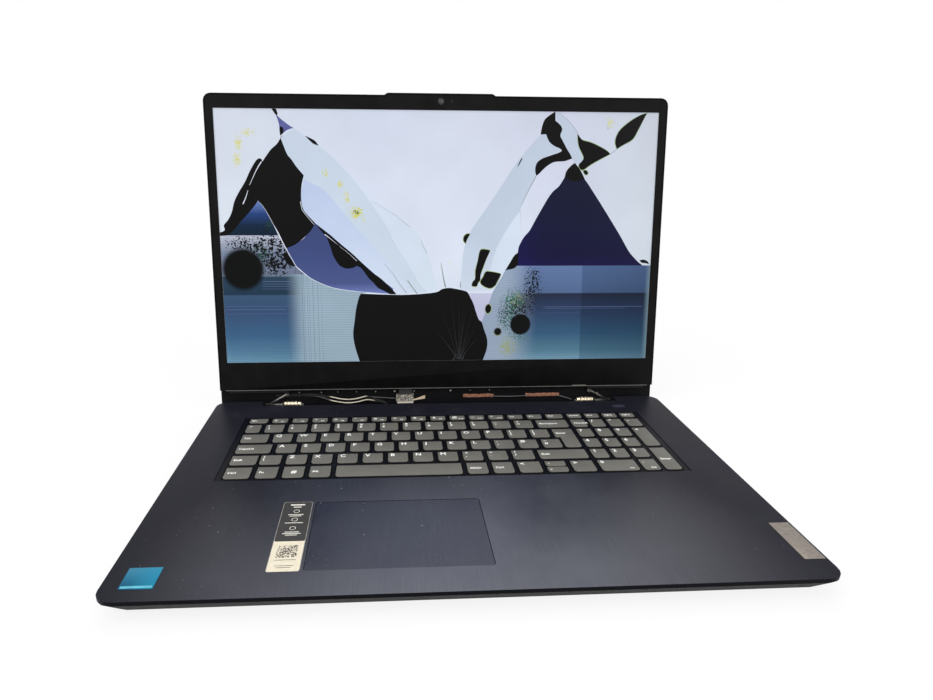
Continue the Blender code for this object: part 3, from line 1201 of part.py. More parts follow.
def make_cables(build, wire, ribbon):
    """The aerial leads and the screen's flat cable, from the lid into the base."""
    top = SCREEN_BOTTOM + SCREEN_HEIGHT + PANEL_TOP
    edge = WIDTH / 2 - LID_RIM
    for name, start_x, start_y, side_x, low_y, sag, exit_x in (
            ("antenna_cable_upper", 58.0, top + 1.6 * MM, edge - 2.5 * MM, 7.9, 2.6, -43.8),
            ("antenna_cable_lower", -129.0, top + 3.0 * MM, edge - 1.2 * MM, 6.5, -0.6, -45.6)):
        in_lid = [(start_x * MM, start_y, WIRE_DEPTH), (-side_x, start_y, WIRE_DEPTH),
                  (-side_x, low_y * MM, WIRE_DEPTH), (-125.0 * MM, low_y * MM, WIRE_DEPTH),
                  (-101.0 * MM, (sag + 2.6) * MM, 5.6 * MM), (-85.0 * MM, sag * MM, 5.2 * MM),
                  (-69.0 * MM, (sag + 3.6) * MM, 5.6 * MM)]
        corners = [from_lid(*c) for c in in_lid]
        corners += [(-56.0 * MM, AXIS_Y - MM, AXIS_Z + (sag - 1.0) * MM / 2),
                    (exit_x * MM, RECESS_Y + 3 * MM, 8.6 * MM), (exit_x * MM, RECESS_Y - 5 * MM, 8.0 * MM),
                    (exit_x * MM, BOARD_REAR + 2 * MM, BOARD_TOP + 1.2 * MM),
                    ((exit_x + 3) * MM, BOARD_REAR - 10 * MM, BOARD_TOP + 0.9 * MM),
                    ((exit_x + 20) * MM, CPU_Y + 4 * MM, BOARD_TOP + 0.9 * MM),
                    ((exit_x + 20) * MM, CPU_Y + 0.4 * MM, BOARD_TOP + 1.4 * MM)]
        build.tube(name, filleted_path(corners, 3.5 * MM), WIRE_RADIUS, wire, build.base)
    make_ribbon(build, ribbon)


def make_ribbon(build, finish):
    """The screen's flat cable, a folded strip with its own thickness."""
    left, right, wall = -38.0 * MM, -26.0 * MM, 0.3 * MM
    low = SCREEN_BOTTOM - PANEL_CHIN - 0.5 * MM
    route = [from_lid(0, up, depth) for up, depth in ((low, 6.4 * MM), (14 * MM, 6.6 * MM), (7 * MM, 5.6 * MM),
                                                     (1 * MM, 3.0 * MM), (-2 * MM, 0.4 * MM))]
    route += [(0, RECESS_Y + 4 * MM, 8.3 * MM), (0, RECESS_Y - 4 * MM, 8.3 * MM),
              (0, RECESS_Y - 15 * MM, 6.4 * MM), (0, BOARD_REAR + 0.4 * MM, BOARD_TOP + 1.0 * MM)]
    points = filleted_path(route, 4 * MM)
    bm = bmesh.new()
    previous = None
    for point in points:
        pair = (bm.verts.new((left, point.y, point.z)), bm.verts.new((right, point.y, point.z)))
        if previous:
            bm.faces.new((previous[0], previous[1], pair[1], pair[0]))
        previous = pair
    cable = build.part("display_cable", bm, finish, build.base)
    solid = cable.modifiers.new("thickness", "SOLIDIFY")
    solid.thickness = wall
    solid.offset = 0.0


def finishes():
    """Every material, by what it is on."""
    return {
        "deck": material("navy_deck", (0.035, 0.038, 0.062), 0.38),
        "bottom": material("black_plastic", (0.018, 0.018, 0.020), 0.55),
        "rubber": material("foot_rubber", (0.012, 0.012, 0.012), 0.85),
        "plate": material("keyboard_steel", (0.05, 0.05, 0.055), 0.5, 0.6),
        "key": material("key_plastic", (0.155, 0.147, 0.135), 0.55),
        "power": material("power_plastic", (0.03, 0.032, 0.045), 0.35),
        "lid": material("lid_shell", (0.030, 0.032, 0.048), 0.45),
        "bezel": material("bezel_plastic", (0.008, 0.008, 0.008), 0.5),
        "screen": material("broken_screen", (0.55, 0.62, 0.70), 0.2),
        "steel": material("hinge_steel", (0.28, 0.28, 0.29), 0.35, 1.0),
        "nickel": material("nickel_washers", (0.75, 0.70, 0.60), 0.25, 1.0),
        "board": material("circuit_board", (0.01, 0.07, 0.035), 0.5),
        "battery": material("battery_wrap", (0.02, 0.02, 0.022), 0.6),
        "drive": material("drive_case", (0.55, 0.56, 0.58), 0.35, 1.0),
        "copper": material("copper", (0.70, 0.36, 0.22), 0.35, 1.0),
        "fins": material("aluminium_fins", (0.70, 0.71, 0.72), 0.35, 1.0),
        "wire": material("cream_wire", (0.72, 0.68, 0.58), 0.5),
        "ribbon": material("ribbon_cable", (0.55, 0.54, 0.50), 0.45),
    }


def main():
    """Builds the laptop."""
    clear_scene()
    build = Builder()
    looks = finishes()
    make_bottom_cover(build, looks["bottom"])
    make_feet(build, looks["rubber"])
    make_palmrest(build, looks["deck"])
    make_keyboard(build, looks["plate"], looks["key"])
    make_touchpad(build, looks["deck"], looks["steel"])
    make_power_button(build, looks["power"])
    make_battery(build, looks["battery"])
    make_drive(build, looks["drive"])
    make_speakers(build, looks["bottom"])
    make_boards(build, looks["board"], looks["copper"])
    make_cooling(build, looks["bottom"], looks["bottom"], looks["copper"], looks["fins"])
    make_ports(build, looks["steel"], looks["bottom"])
    make_hinges(build, looks["steel"], looks["nickel"])
    make_lid_cover(build, looks["lid"])
    make_bezel(build, looks["bezel"])
    make_panel(build, looks["screen"])
    make_lid_electronics(build, looks["board"], looks["copper"])
    make_cables(build, looks["wire"], looks["ribbon"])


main()
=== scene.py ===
"""Looks of a broken 17 inch laptop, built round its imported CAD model.

The base's own coordinates are x to the right from the middle, y back from the
front edge and z up from the desk. The lid's own coordinates are x to the right,
y up the screen from the hinge axis and z out of the screen. Sizes are written
in millimetres and scaled once, where a mesh is made.
"""

import json
import logging
import math
import random
from dataclasses import dataclass, field
from enum import Enum

import bmesh
import bpy
from mathutils import Matrix, Vector

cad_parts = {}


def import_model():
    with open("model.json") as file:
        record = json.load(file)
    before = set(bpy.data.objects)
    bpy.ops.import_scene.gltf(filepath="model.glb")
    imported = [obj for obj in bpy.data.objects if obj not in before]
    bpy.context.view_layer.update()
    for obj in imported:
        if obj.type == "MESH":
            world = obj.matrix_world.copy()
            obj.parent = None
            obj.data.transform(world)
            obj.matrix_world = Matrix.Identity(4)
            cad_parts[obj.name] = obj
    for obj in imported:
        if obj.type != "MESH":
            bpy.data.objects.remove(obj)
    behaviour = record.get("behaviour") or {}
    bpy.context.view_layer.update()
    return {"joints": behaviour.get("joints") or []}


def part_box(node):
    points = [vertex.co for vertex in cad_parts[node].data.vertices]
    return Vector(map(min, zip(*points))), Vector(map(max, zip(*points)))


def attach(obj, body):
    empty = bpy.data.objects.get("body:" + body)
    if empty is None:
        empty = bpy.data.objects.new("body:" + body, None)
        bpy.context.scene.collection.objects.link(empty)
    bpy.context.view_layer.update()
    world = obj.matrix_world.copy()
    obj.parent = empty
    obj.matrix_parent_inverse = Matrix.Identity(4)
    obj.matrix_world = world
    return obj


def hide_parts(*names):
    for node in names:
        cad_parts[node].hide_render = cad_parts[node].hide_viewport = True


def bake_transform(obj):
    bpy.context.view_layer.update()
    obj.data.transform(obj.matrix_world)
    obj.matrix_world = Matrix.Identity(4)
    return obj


LOG = logging.getLogger("laptop")
MM = 0.001
OPEN_ANGLE = math.radians(100.88)
FACE = 4.4           # depth of the bezel's face below the hinge axis's plane
PANEL_FACE = 5.3     # depth of the display panel's face
LID_FLOOR = 8.2      # depth of the lid cover's inner floor
Point = tuple[float, float]
Colour = tuple[float, float, float]
Stops = tuple[tuple[float, Colour], ...]
Socket = bpy.types.NodeSocket
Finish = bpy.types.Material
Form = bmesh.types.BMesh


def srgb(red: int, green: int, blue: int) -> Colour:
    """Turns a colour read on a 0 to 255 scale into the linear one that a shader takes."""
    def channel(value: float) -> float:
        """Converts one channel."""
        return value / 12.92 if value <= 0.04045 else ((value + 0.055) / 1.055) ** 2.4
    return channel(red / 255), channel(green / 255), channel(blue / 255)


class Side(Enum):
    """The left or right side of the laptop, as the sign of x."""

    LEFT = -1
    RIGHT = 1


class Body(Enum):
    """The CAD bodies that most pieces ride on."""

    BASE = "base"
    LID = "lid"


# Materials


class Shader:
    """A Principled material being wired."""

    def __init__(self, name: str, colour: Colour, roughness: float,
                 metallic: float = 0.0) -> None:
        """Makes the material.

        Args:
            name: The material's name.
            colour: Its base colour, linear.
            roughness: Its roughness.
            metallic: Its metallic value.
        """
        self.material = bpy.data.materials.new(name)
        self.material.use_nodes = True
        self.tree = self.material.node_tree
        self.principled = self.tree.nodes["Principled BSDF"]
        self.put("Base Color", (*colour, 1.0))
        self.put("Roughness", roughness)
        self.put("Metallic", metallic)

    def put(self, socket: str, value: object) -> None:
        """Sets a value on the shader's own socket."""
        self.principled.inputs[socket].default_value = value

    def feed(self, socket: str, source: Socket) -> None:
        """Links a socket of the shader to a source."""
        self.tree.links.new(source, self.principled.inputs[socket])

    def node(self, kind: str, inputs: dict | None = None, **settings: object) -> bpy.types.Node:
        """Adds a node.

        Args:
            kind: The node's type, without its ShaderNode prefix.
            inputs: Values or source sockets by input name or index.
            settings: Properties set on the node itself.

        Returns:
            The new node.
        """
        made = self.tree.nodes.new("ShaderNode" + kind)
        for key, value in settings.items():
            setattr(made, key, value)
        for key, value in (inputs or {}).items():
            if isinstance(value, Socket):
                self.tree.links.new(value, made.inputs[key])
            else:
                made.inputs[key].default_value = value
        return made

    def math(self, operation: str, *values: object, clamp: bool = False) -> Socket:
        """Adds a Math node and returns its result."""
        return self.node("Math", dict(enumerate(values)), operation=operation, use_clamp=clamp).outputs[0]

    def place(self, scale: tuple[float, float, float] = (1, 1, 1), matrix: Matrix | None = None) -> Socket:
        """Gives Object coordinates in millimetres.

        Args:
            scale: A stretch along each axis, for grain.
            matrix: The frame whose own coordinates are wanted, or None for the row frame.

        Returns:
            The vector socket.
        """
        source = self.node("TexCoord").outputs["Object"]
        if matrix is not None:
            back = matrix.inverted()
            source = self.node("Mapping", {"Vector": source, "Location": back.to_translation(),
                                           "Rotation": back.to_euler()}).outputs[0]
        grown = [s / MM for s in scale]
        return self.node("Mapping", {"Vector": source, "Scale": grown}).outputs[0]

    def noise(self, vector: Socket, scale: float, detail: float = 2.0, rough: float = 0.5) -> Socket:
        """Adds a noise texture and returns its factor."""
        return self.node("TexNoise", {"Vector": vector, "Scale": scale, "Detail": detail,
                                      "Roughness": rough}).outputs[0]

    def ramp(self, factor: object, stops: list[tuple[float, Colour]]) -> Socket:
        """Adds a colour ramp.

        Args:
            factor: The socket or value that runs along the ramp.
            stops: Each stop's place and colour.

        Returns:
            The ramp's colour.
        """
        made = self.node("ValToRGB", {0: factor})
        band = made.color_ramp
        while len(band.elements) < len(stops):
            band.elements.new(0.5)
        for element, (position, colour) in zip(band.elements, stops):
            element.position = position
            element.color = (*colour, 1.0)
        return made.outputs[0]

    def mix(self, factor: object, first: object, second: object, blend: str = "MIX") -> Socket:
        """Mixes two colours.

        Args:
            factor: The second colour's share.
            first: The first colour.
            second: The second colour.
            blend: How the two are blended.

        Returns:
            The mixed colour.
        """
        def full(value: object) -> object:
            """Gives a plain colour its alpha."""
            return (*value, 1.0) if isinstance(value, tuple) and len(value) == 3 else value
        made = self.node("Mix", {0: factor, 6: full(first), 7: full(second)}, data_type="RGBA",
                         blend_type=blend)
        return made.outputs[2]

    def ease(self, value: object, low: float, high: float) -> Socket:
        """Rises smoothly from 0 at low to 1 at high, or falls where high is below low."""
        made = self.node("MapRange", {0: value, 1: low, 2: high, 3: 0.0, 4: 1.0},
                         interpolation_type="SMOOTHSTEP")
        return made.outputs[0]

    def distance(self, place: tuple, middle: tuple, reach: tuple = (1.0, 1.0)) -> Socket:
        """Gives the distance from a point, with each axis divided by its own reach.

        Args:
            place: The two coordinates' sockets.
            middle: The point.
            reach: What each axis is divided by.

        Returns:
            The distance.
        """
        across, along = (self.math("DIVIDE", self.math("SUBTRACT", place[i], middle[i]), reach[i])
                         for i in (0, 1))
        square = self.math("ADD", self.math("MULTIPLY", across, across),
                           self.math("MULTIPLY", along, along))
        return self.math("SQRT", square)

    def relief(self, height: Socket, strength: float, depth: float = 0.05) -> None:
        """Bumps the surface by a height, with its depth in millimetres."""
        bump = self.node("Bump", {"Height": height, "Strength": strength, "Distance": depth * MM})
        self.feed("Normal", bump.outputs[0])


@dataclass(frozen=True)
class Moulded:
    """Moulded plastic or rubber with a fine grain, mottled and a little scuffed."""

    name: str
    colour: Colour
    roughness: float = 0.5
    grain: float = 3.0
    depth: float = 0.02
    mottle: float = 0.18
    shine: float = 0.5

    def make(self) -> Finish:
        """Builds the material."""
        shader = Shader(self.name, self.colour, self.roughness)
        shader.put("Specular IOR Level", self.shine)
        where = shader.place()
        cloud = shader.noise(where, 0.06, 4.0)
        pale = tuple(min(1.0, c * (1 + self.mottle) + 0.002) for c in self.colour)
        dark = tuple(c * (1 - self.mottle) for c in self.colour)
        shader.feed("Base Color", shader.ramp(cloud, [(0.3, dark), (0.7, pale)]))
        wear = shader.noise(where, 0.4, 3.0)
        shader.feed("Roughness", shader.node("MapRange", {
            0: wear, 1: 0.3, 2: 0.7, 3: self.roughness - 0.06, 4: self.roughness + 0.06}).outputs[0])
        shader.relief(shader.noise(where, self.grain, 2.0), 0.35, self.depth)
        return shader.material


@dataclass(frozen=True)
class BrushedDeck:
    """Dark blue plastic with a fine brush from front to back and dust, a painted sheen of raised specular
    in the middle front that also stands for palm wear, and painted shade below the deck's top.
    """

    name: str = "brushed_deck"
    colour: Colour = srgb(27, 27, 35)
    # painted shade: the sunk key lattice and the deck's side walls get this darker colour, though they are
    # the deck's own plastic
    well_shade: Colour = srgb(11, 11, 16)    # the key lattice and the side walls
    roughness: float = 0.34
    streak: float = 0.3
    dust: float = 0.75
    sheen_spot: tuple[float, float, float, float] = (-4.0, 4.0, 200.0, 200.0)   # middle and reach
    shine: Point = (0.06, 1.7)

    def make(self, base: "Frame", deck: float) -> Finish:
        """Builds the material.

        Args:
            base: The base's frame.
            deck: The deck's height in it.

        Returns:
            The material.
        """
        shader = Shader(self.name, self.colour, self.roughness)
        where = shader.place()
        parts = shader.node("SeparateXYZ", {0: shader.place(matrix=base.matrix)}).outputs
        lines = shader.noise(shader.place((6.0, 0.035, 1.0)), 1.0, 3.0, 0.65)
        smudge = shader.noise(where, 0.018, 5.0, 0.6)
        streaked = shader.ramp(lines, [(0.3, tuple(c * (1 - self.streak) for c in self.colour)),
                                       (0.7, tuple(c * (1 + self.streak) for c in self.colour))])
        greyed = shader.mix(shader.ease(smudge, 0.5, 0.8), streaked, srgb(40, 40, 48))
        specks = shader.node("TexVoronoi", {"Vector": where, "Scale": 0.11, "Randomness": 1.0})
        near = shader.math("LESS_THAN", specks.outputs["Distance"], 0.02)
        rare = shader.math("GREATER_THAN", shader.noise(where, 0.05, 2.0), 0.56)
        dusty = shader.math("MULTIPLY", near, rare)
        shown = shader.mix(shader.math("MULTIPLY", dusty, self.dust), greyed, srgb(150, 148, 140))
        # below the deck's top the colour turns to the painted shade colour
        below_deck_shade = shader.ease(parts[2], deck - 0.1, deck - 0.3)
        shader.feed("Base Color", shader.mix(below_deck_shade, shown, self.well_shade))
        # raised specular round the middle front, off the sunk parts: a painted sheen that also stands for
        # palm wear
        far = shader.distance(parts, self.sheen_spot[:2], self.sheen_spot[2:])
        sheen_and_wear = shader.math("MULTIPLY", shader.ease(far, 1.0, 0.1), shader.math("SUBTRACT", 1.0, below_deck_shade))
        brushed = shader.node("MapRange", {0: lines, 1: 0.3, 2: 0.7, 3: 0.7, 4: 1.1}).outputs[0]
        uneven = shader.math("MULTIPLY", sheen_and_wear, brushed)
        shader.put("Specular Tint", (0.84, 0.87, 1.0, 1.0))
        shader.feed("Specular IOR Level", shader.node("MapRange", {
            0: uneven, 3: self.shine[0], 4: self.shine[1]}).outputs[0])
        rough = shader.node("MapRange", {0: smudge, 1: 0.3, 2: 0.75, 3: self.roughness - 0.05,
                                         4: self.roughness + 0.14})
        shader.feed("Roughness", shader.math("ADD", rough.outputs[0], shader.math("MULTIPLY", dusty, 0.4)))
        shader.relief(lines, 0.16, 0.03)
        return shader.material


@dataclass(frozen=True)
class KeyPlastic:
    """Warm grey key plastic whose sides turn near-black below the cap's rim, painted shade for the gap
    round each cap.
    """

    name: str = "key_plastic"
    colour: Colour = srgb(99, 97, 91)
    # painted shade: the near-black colour of the caps' sides stands for the shadow in the gap round each
    # cap
    side: Colour = srgb(16, 16, 17)
    roughness: float = 0.5

    def make(self, base: "Frame", top: float) -> Finish:
        """Builds the material.

        Args:
            base: The base's frame.
            top: The height of the caps' tops in it.

        Returns:
            The material.
        """
        shader = Shader(self.name, self.colour, self.roughness)
        place = shader.place(matrix=base.matrix)
        height = shader.node("SeparateXYZ", {0: place}).outputs[2]
        cloud = shader.noise(place, 0.05, 4.0)
        tops = shader.ramp(cloud, [(0.3, tuple(c * 0.9 for c in self.colour)),
                                   (0.7, tuple(c * 1.1 for c in self.colour))])
        # below the rim the caps' sides take the painted shade colour
        shader.feed("Base Color", shader.mix(shader.ease(height, top - 0.2, top - 0.36), tops, self.side))
        shader.put("Specular IOR Level", 0.3)
        shader.relief(shader.noise(place, 2.2, 2.0), 0.35, 0.02)
        return shader.material


@dataclass(frozen=True)
class CoatedSteel:
    """Hinge steel, bright near its tip and coated black over its leaf and root."""

    name: str = "coated_steel"
    colour: Colour = srgb(112, 109, 104)
    coat: Colour = srgb(14, 14, 15)
    leaf: float = 9.0      # height up the lid above which all is coated
    root: float = 150.0    # distance from the middle beyond which all is coated

    def make(self, lid: "Frame") -> Finish:
        """Builds the material.

        Args:
            lid: The lid's frame.

        Returns:
            The material.
        """
        shader = Shader(self.name, self.colour, 0.34, 1.0)
        parts = shader.node("SeparateXYZ", {0: shader.place(matrix=lid.matrix)}).outputs
        up = shader.ease(parts[1], self.leaf - 0.5, self.leaf + 0.5)
        out = shader.ease(shader.math("ABSOLUTE", parts[0]), self.root - 4, self.root + 3)
        coated = shader.math("MAXIMUM", up, out)
        patch = shader.noise(shader.place(), 0.4, 4.0)
        bare = shader.ramp(patch, [(0.35, tuple(c * 0.5 for c in self.colour)), (0.65, self.colour)])
        shader.feed("Base Color", shader.mix(coated, bare, self.coat))
        shader.feed("Metallic", shader.math("SUBTRACT", 1.0, coated))
        shader.feed("Specular IOR Level", shader.node("MapRange", {0: coated, 3: 0.5, 4: 0.2}).outputs[0])
        shader.relief(shader.noise(shader.place((0.4, 4.0, 4.0)), 1.0, 3.0), 0.3, 0.02)
        return shader.material


@dataclass(frozen=True)
class WireSkin:
    """A lead's jacket: cream where it hangs free, dark under the sleeve, and painted shade towards the deck
    where it runs into shadow.
    """

    name: str
    free: tuple[float, float, float, float]     # x where grey, cream, dark again start, and full dark
    cream: Colour = srgb(222, 212, 190)
    grey: Colour = srgb(96, 94, 90)
    dark: Colour = srgb(20, 20, 21)

    def make(self, lid: "Frame") -> Finish:
        """Builds the material.

        Args:
            lid: The lid's frame.

        Returns:
            The material.
        """
        shader = Shader(self.name, self.cream, 0.4)
        x = shader.node("SeparateXYZ", {0: shader.place(matrix=lid.matrix)}).outputs[0]
        sleeved, bare, under, shade_x = self.free
        colour = shader.mix(shader.ease(x, sleeved - 1.5, sleeved + 1.5), self.dark, self.grey)
        colour = shader.mix(shader.ease(x, bare - 1.0, bare + 1.0), colour, self.cream)
        # towards the deck the jacket fades to dark: painted shade where the lead runs into the shadow
        # behind the deck
        shader.feed("Base Color", shader.mix(shader.ease(x, under, shade_x), colour, self.dark))
        shader.put("Specular IOR Level", 0.3)
        return shader.material


@dataclass(frozen=True)
class BareMetal:
    """Bare metal, brushed one way, with tarnish in patches."""

    name: str
    colour: Colour
    roughness: float = 0.3
    brush: tuple[float, float, float] = (0.4, 4.0, 4.0)
    tarnish: float = 0.35

    def make(self) -> Finish:
        """Builds the material."""
        shader = Shader(self.name, self.colour, self.roughness, 1.0)
        lines = shader.noise(shader.place(self.brush), 1.0, 3.0)
        patch = shader.noise(shader.place(), 0.35, 4.0)
        dull = tuple(c * (1 - self.tarnish) for c in self.colour)
        shader.feed("Base Color", shader.ramp(patch, [(0.35, dull), (0.62, self.colour)]))
        shader.feed("Roughness", shader.node("MapRange", {
            0: patch, 1: 0.3, 2: 0.7, 3: self.roughness + 0.18, 4: self.roughness}).outputs[0])
        shader.relief(lines, 0.3, 0.02)
        return shader.material


@dataclass(frozen=True)
class CircuitBoard:
    """Green solder mask with paler tracks."""

    name: str = "circuit_board"
    colour: Colour = srgb(20, 78, 52)

    def make(self) -> Finish:
        """Builds the material."""
        shader = Shader(self.name, self.colour, 0.42)
        tracks = shader.node("TexBrick", {"Vector": shader.place(), "Scale": 0.22, "Mortar Size": 0.03,
                                          "Color1": (*self.colour, 1.0),
                                          "Color2": (*srgb(24, 92, 60), 1.0),
                                          "Mortar": (*srgb(62, 120, 84), 1.0)})
        shader.feed("Base Color", tracks.outputs[0])
        shader.relief(tracks.outputs[1], 0.3, 0.03)
        return shader.material


@dataclass(frozen=True)
class Printed:
    """Plain printing ink or sticker film, slightly uneven."""

    name: str
    colour: Colour
    roughness: float = 0.5
    lift: float = 0.12
    metallic: float = 0.0

    def make(self) -> Finish:
        """Builds the material."""
        shader = Shader(self.name, self.colour, self.roughness, self.metallic)
        cloud = shader.noise(shader.place(), 0.3, 4.0)
        shader.feed("Base Color", shader.ramp(cloud, [
            (0.3, tuple(c * (1 - self.lift) for c in self.colour)),
            (0.7, tuple(min(1.0, c * (1 + self.lift)) for c in self.colour))]))
        shader.relief(shader.noise(shader.place(), 2.0), 0.2, 0.01)
        return shader.material


@dataclass(frozen=True)
class Speckle:
    """A patch of specks on the screen: an ellipse with soft edges, in the lid's millimetres."""

    x: float
    up: float
    wide: float
    high: float
    amount: float
    colour: Colour
    grain: float = 0.9


@dataclass(frozen=True)
class Spot:
    """A round dark spot on the screen with a soft edge."""

    x: float
    up: float
    radius: float
    soft: float = 1.5


@dataclass(frozen=True)
class ScreenFilm:
    """One area of the lit screen, painted by its own bands, lines, specks and spots."""

    name: str
    along: Stops   # colours up the screen
    across: Stops = ()   # colours multiplied across it
    edge: Colour | None = None       # colour past fade, across the screen
    fade: tuple[float, float] = (0.0, 1.0)
    far_edge: Colour | None = None
    far_fade: tuple[float, float] = (0.0, 1.0)
    below: float = 1000.0    # the edge colours are used only below this height
    lines: float = 0.0       # strength of the fine horizontal lines
    columns: float = 0.0     # strength of the fine vertical lines
    speckles: tuple[Speckle, ...] = ()
    spots: tuple[Spot, ...] = ()
    glow: float = 0.62

    def make(self, lid: "Frame") -> Finish:
        """Builds the material.

        Args:
            lid: The lid's frame, in whose coordinates the screen is painted.

        Returns:
            The material, lit from behind.
        """
        shader = Shader(self.name, self.along[0][1], 0.3)
        shader.put("Specular IOR Level", 0.1)
        place = shader.place(matrix=lid.matrix)
        parts = shader.node("SeparateXYZ", {0: place})
        x, up = parts.outputs[0], parts.outputs[1]
        low, high = self.along[0][0], self.along[-1][0]
        span = max(high - low, 1.0)
        colour = shader.ramp(shader.node("MapRange", {0: up, 1: low, 2: low + span}).outputs[0],
                             [((t - low) / span, c) for t, c in self.along])
        if self.across:
            left, right = self.across[0][0], self.across[-1][0]
            tint = shader.ramp(shader.node("MapRange", {0: x, 1: left, 2: right}).outputs[0],
                               [((t - left) / (right - left), c) for t, c in self.across])
            colour = shader.mix(1.0, colour, tint, "MULTIPLY")
        under = shader.math("LESS_THAN", up, self.below)
        for shade, (start, end) in ((self.edge, self.fade), (self.far_edge, self.far_fade)):
            if shade:
                share = shader.math("MULTIPLY", shader.ease(x, start, end), under)
                colour = shader.mix(share, colour, shade)
        if self.lines:
            colour = self.lined(shader, colour, up, 2.15, self.lines)
        if self.columns:
            colour = self.lined(shader, colour, x, 0.9, self.columns)
        mottle = shader.ramp(shader.noise(place, 0.02, 3.0), [(0.3, (0.93,) * 3), (0.7, (1.0,) * 3)])
        colour = shader.mix(1.0, colour, mottle, "MULTIPLY")
        for speckle in self.speckles:
            colour = self.specked(shader, colour, place, (x, up), speckle)
        for spot in self.spots:
            far = shader.distance((x, up), (spot.x, spot.up))
            inside = shader.ease(far, spot.radius + spot.soft, spot.radius - spot.soft)
            colour = shader.mix(inside, colour, srgb(4, 5, 6))
        shader.feed("Base Color", shader.mix(1.0, colour, (0.42,) * 3, "MULTIPLY"))
        shader.feed("Emission Color", colour)
        shader.put("Emission Strength", self.glow)
        return shader.material

    @staticmethod
    def lined(shader: Shader, colour: object, along: object, pitch: float, strength: float) -> Socket:
        """Darkens the colour in fine lines, one each pitch."""
        phase = shader.math("FRACT", shader.math("DIVIDE", along, pitch))
        line = shader.math("LESS_THAN", phase, 0.4)
        return shader.mix(shader.math("MULTIPLY", line, strength), colour, srgb(40, 60, 80))

    @staticmethod
    def specked(shader: Shader, colour: object, place: Socket, parts: tuple, speckle: Speckle) -> Socket:
        """Adds one patch of specks to the colour.

        Args:
            shader: The finish's shader.
            colour: The colour so far.
            place: The place in the area's frame.
            parts: That place's two coordinates.
            speckle: The patch.

        Returns:
            The colour with the specks.
        """
        far = shader.distance(parts, (speckle.x, speckle.up), (speckle.wide, speckle.high))
        cloud = shader.noise(place, speckle.grain * 0.8, 2.0)
        mask = shader.math("MULTIPLY", shader.ease(far, 1.0, 0.1), shader.ease(cloud, 0.34, 0.6))
        cells = shader.node("TexVoronoi", {"Vector": place, "Scale": speckle.grain}).outputs["Distance"]
        found = shader.math("LESS_THAN", cells, shader.math("MULTIPLY", mask, speckle.amount))
        return shader.mix(found, colour, speckle.colour)


# Frames and meshes


@dataclass(frozen=True)
class Frame:
    """A part's own coordinates, in millimetres, as a matrix to the row frame."""

    matrix: Matrix
    body: str

    def point(self, x: float, y: float, z: float) -> Vector:
        """Gives the row frame's point of one of the part's own."""
        return self.matrix @ Vector((x * MM, y * MM, z * MM))

    def piece(self, name: str, bm: Form, finish: Finish, slot: str,
              body: str | None = None, smooth: bool = True) -> bpy.types.Object:
        """Makes a finished piece from a bmesh in the part's own millimetres.

        Args:
            name: The piece's name.
            bm: Its form; it is freed here.
            finish: Its material.
            slot: The record's material slot; not used.
            body: The CAD body it rides on, or None for the part's own.
            smooth: Whether round faces are shaded smooth.

        Returns:
            The object, at the origin, riding on its body.
        """
        bm.transform(self.matrix @ Matrix.Scale(MM, 4))
        mesh = bpy.data.meshes.new(name)
        bm.to_mesh(mesh)
        bm.free()
        mesh.materials.append(finish)
        if smooth:
            mesh.shade_smooth()
            mesh.set_sharp_from_angle(angle=math.radians(32))
        made = bpy.data.objects.new(name, mesh)
        bpy.context.scene.collection.objects.link(made)
        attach(made, body or self.body)
        LOG.info("%s: %d faces", name, len(mesh.polygons))
        return made


def between(a: object, b: object, c: object, d: object, u: float) -> object:
    """Gives the place at share u of the smooth curve from b to c that comes from a and goes on to d."""
    return 0.5 * (2 * b + (c - a) * u + (2 * a - 5 * b + 4 * c - d) * u * u
                  + (3 * b - a - 3 * c + d) * u ** 3)


def smooth_trace(outline: list[tuple], steps: int = 4) -> list[Point]:
    """Rounds an outline between its corners.

    Args:
        outline: Points in order. A point with a third value is a sharp corner.
        steps: Parts that each rounded stretch is cut into.

    Returns:
        The points of the smooth outline.
    """
    count = len(outline)
    traced = []
    for i in range(count):
        a, b, c, d = (outline[(i + k) % count] for k in (-1, 0, 1, 2))
        if len(b) > 2:
            a = (2 * b[0] - c[0], 2 * b[1] - c[1])
        if len(c) > 2:
            d = (2 * c[0] - b[0], 2 * c[1] - b[1])
        straight = len(b) > 2 and len(c) > 2
        for k in range(1 if straight else steps):
            u = k / steps
            traced.append(tuple(between(a[n], b[n], c[n], d[n], u) for n in (0, 1)))
    return traced


def prisms(outlines: list[list[Point]], low: float, high: float) -> Form:
    """Makes upright prisms on outlines.

    Args:
        outlines: Each prism's outline.
        low: The height of their feet.
        high: The height of their tops.

    Returns:
        The prisms, with each end as a single face.
    """
    bm = bmesh.new()
    for outline in outlines:
        face = bm.faces.new([bm.verts.new((x, y, low)) for x, y in outline])
        grown = bmesh.ops.extrude_face_region(bm, geom=[face])
        top = [v for v in grown["geom"] if isinstance(v, bmesh.types.BMVert)]
        bmesh.ops.translate(bm, vec=(0, 0, high - low), verts=top)
    bmesh.ops.recalc_face_normals(bm, faces=bm.faces)
    return bm


def box_of(low: tuple, high: tuple, bevel: float = 0.0, segments: int = 2) -> Form:
    """Makes a box with rounded edges.

    Args:
        low: The lower corner.
        high: The upper corner.
        bevel: The edges' radius, 0 for sharp ones.
        segments: The faces across an edge.

    Returns:
        The box.
    """
    bm = bmesh.new()
    bmesh.ops.create_cube(bm, size=1.0)
    bmesh.ops.scale(bm, vec=[b - a for a, b in zip(low, high)], verts=bm.verts)
    bmesh.ops.translate(bm, vec=[(a + b) / 2 for a, b in zip(low, high)], verts=bm.verts)
    if bevel:
        bmesh.ops.bevel(bm, geom=bm.edges[:], offset=bevel, segments=segments, profile=0.5,
                        affect="EDGES", material=-1)
    return bm


def add_to(bm: Form, other: Form) -> None:
    """Puts one bmesh into another and frees it."""
    mesh = bpy.data.meshes.new("part")
    other.to_mesh(mesh)
    other.free()
    bm.from_mesh(mesh)
    bpy.data.meshes.remove(mesh)


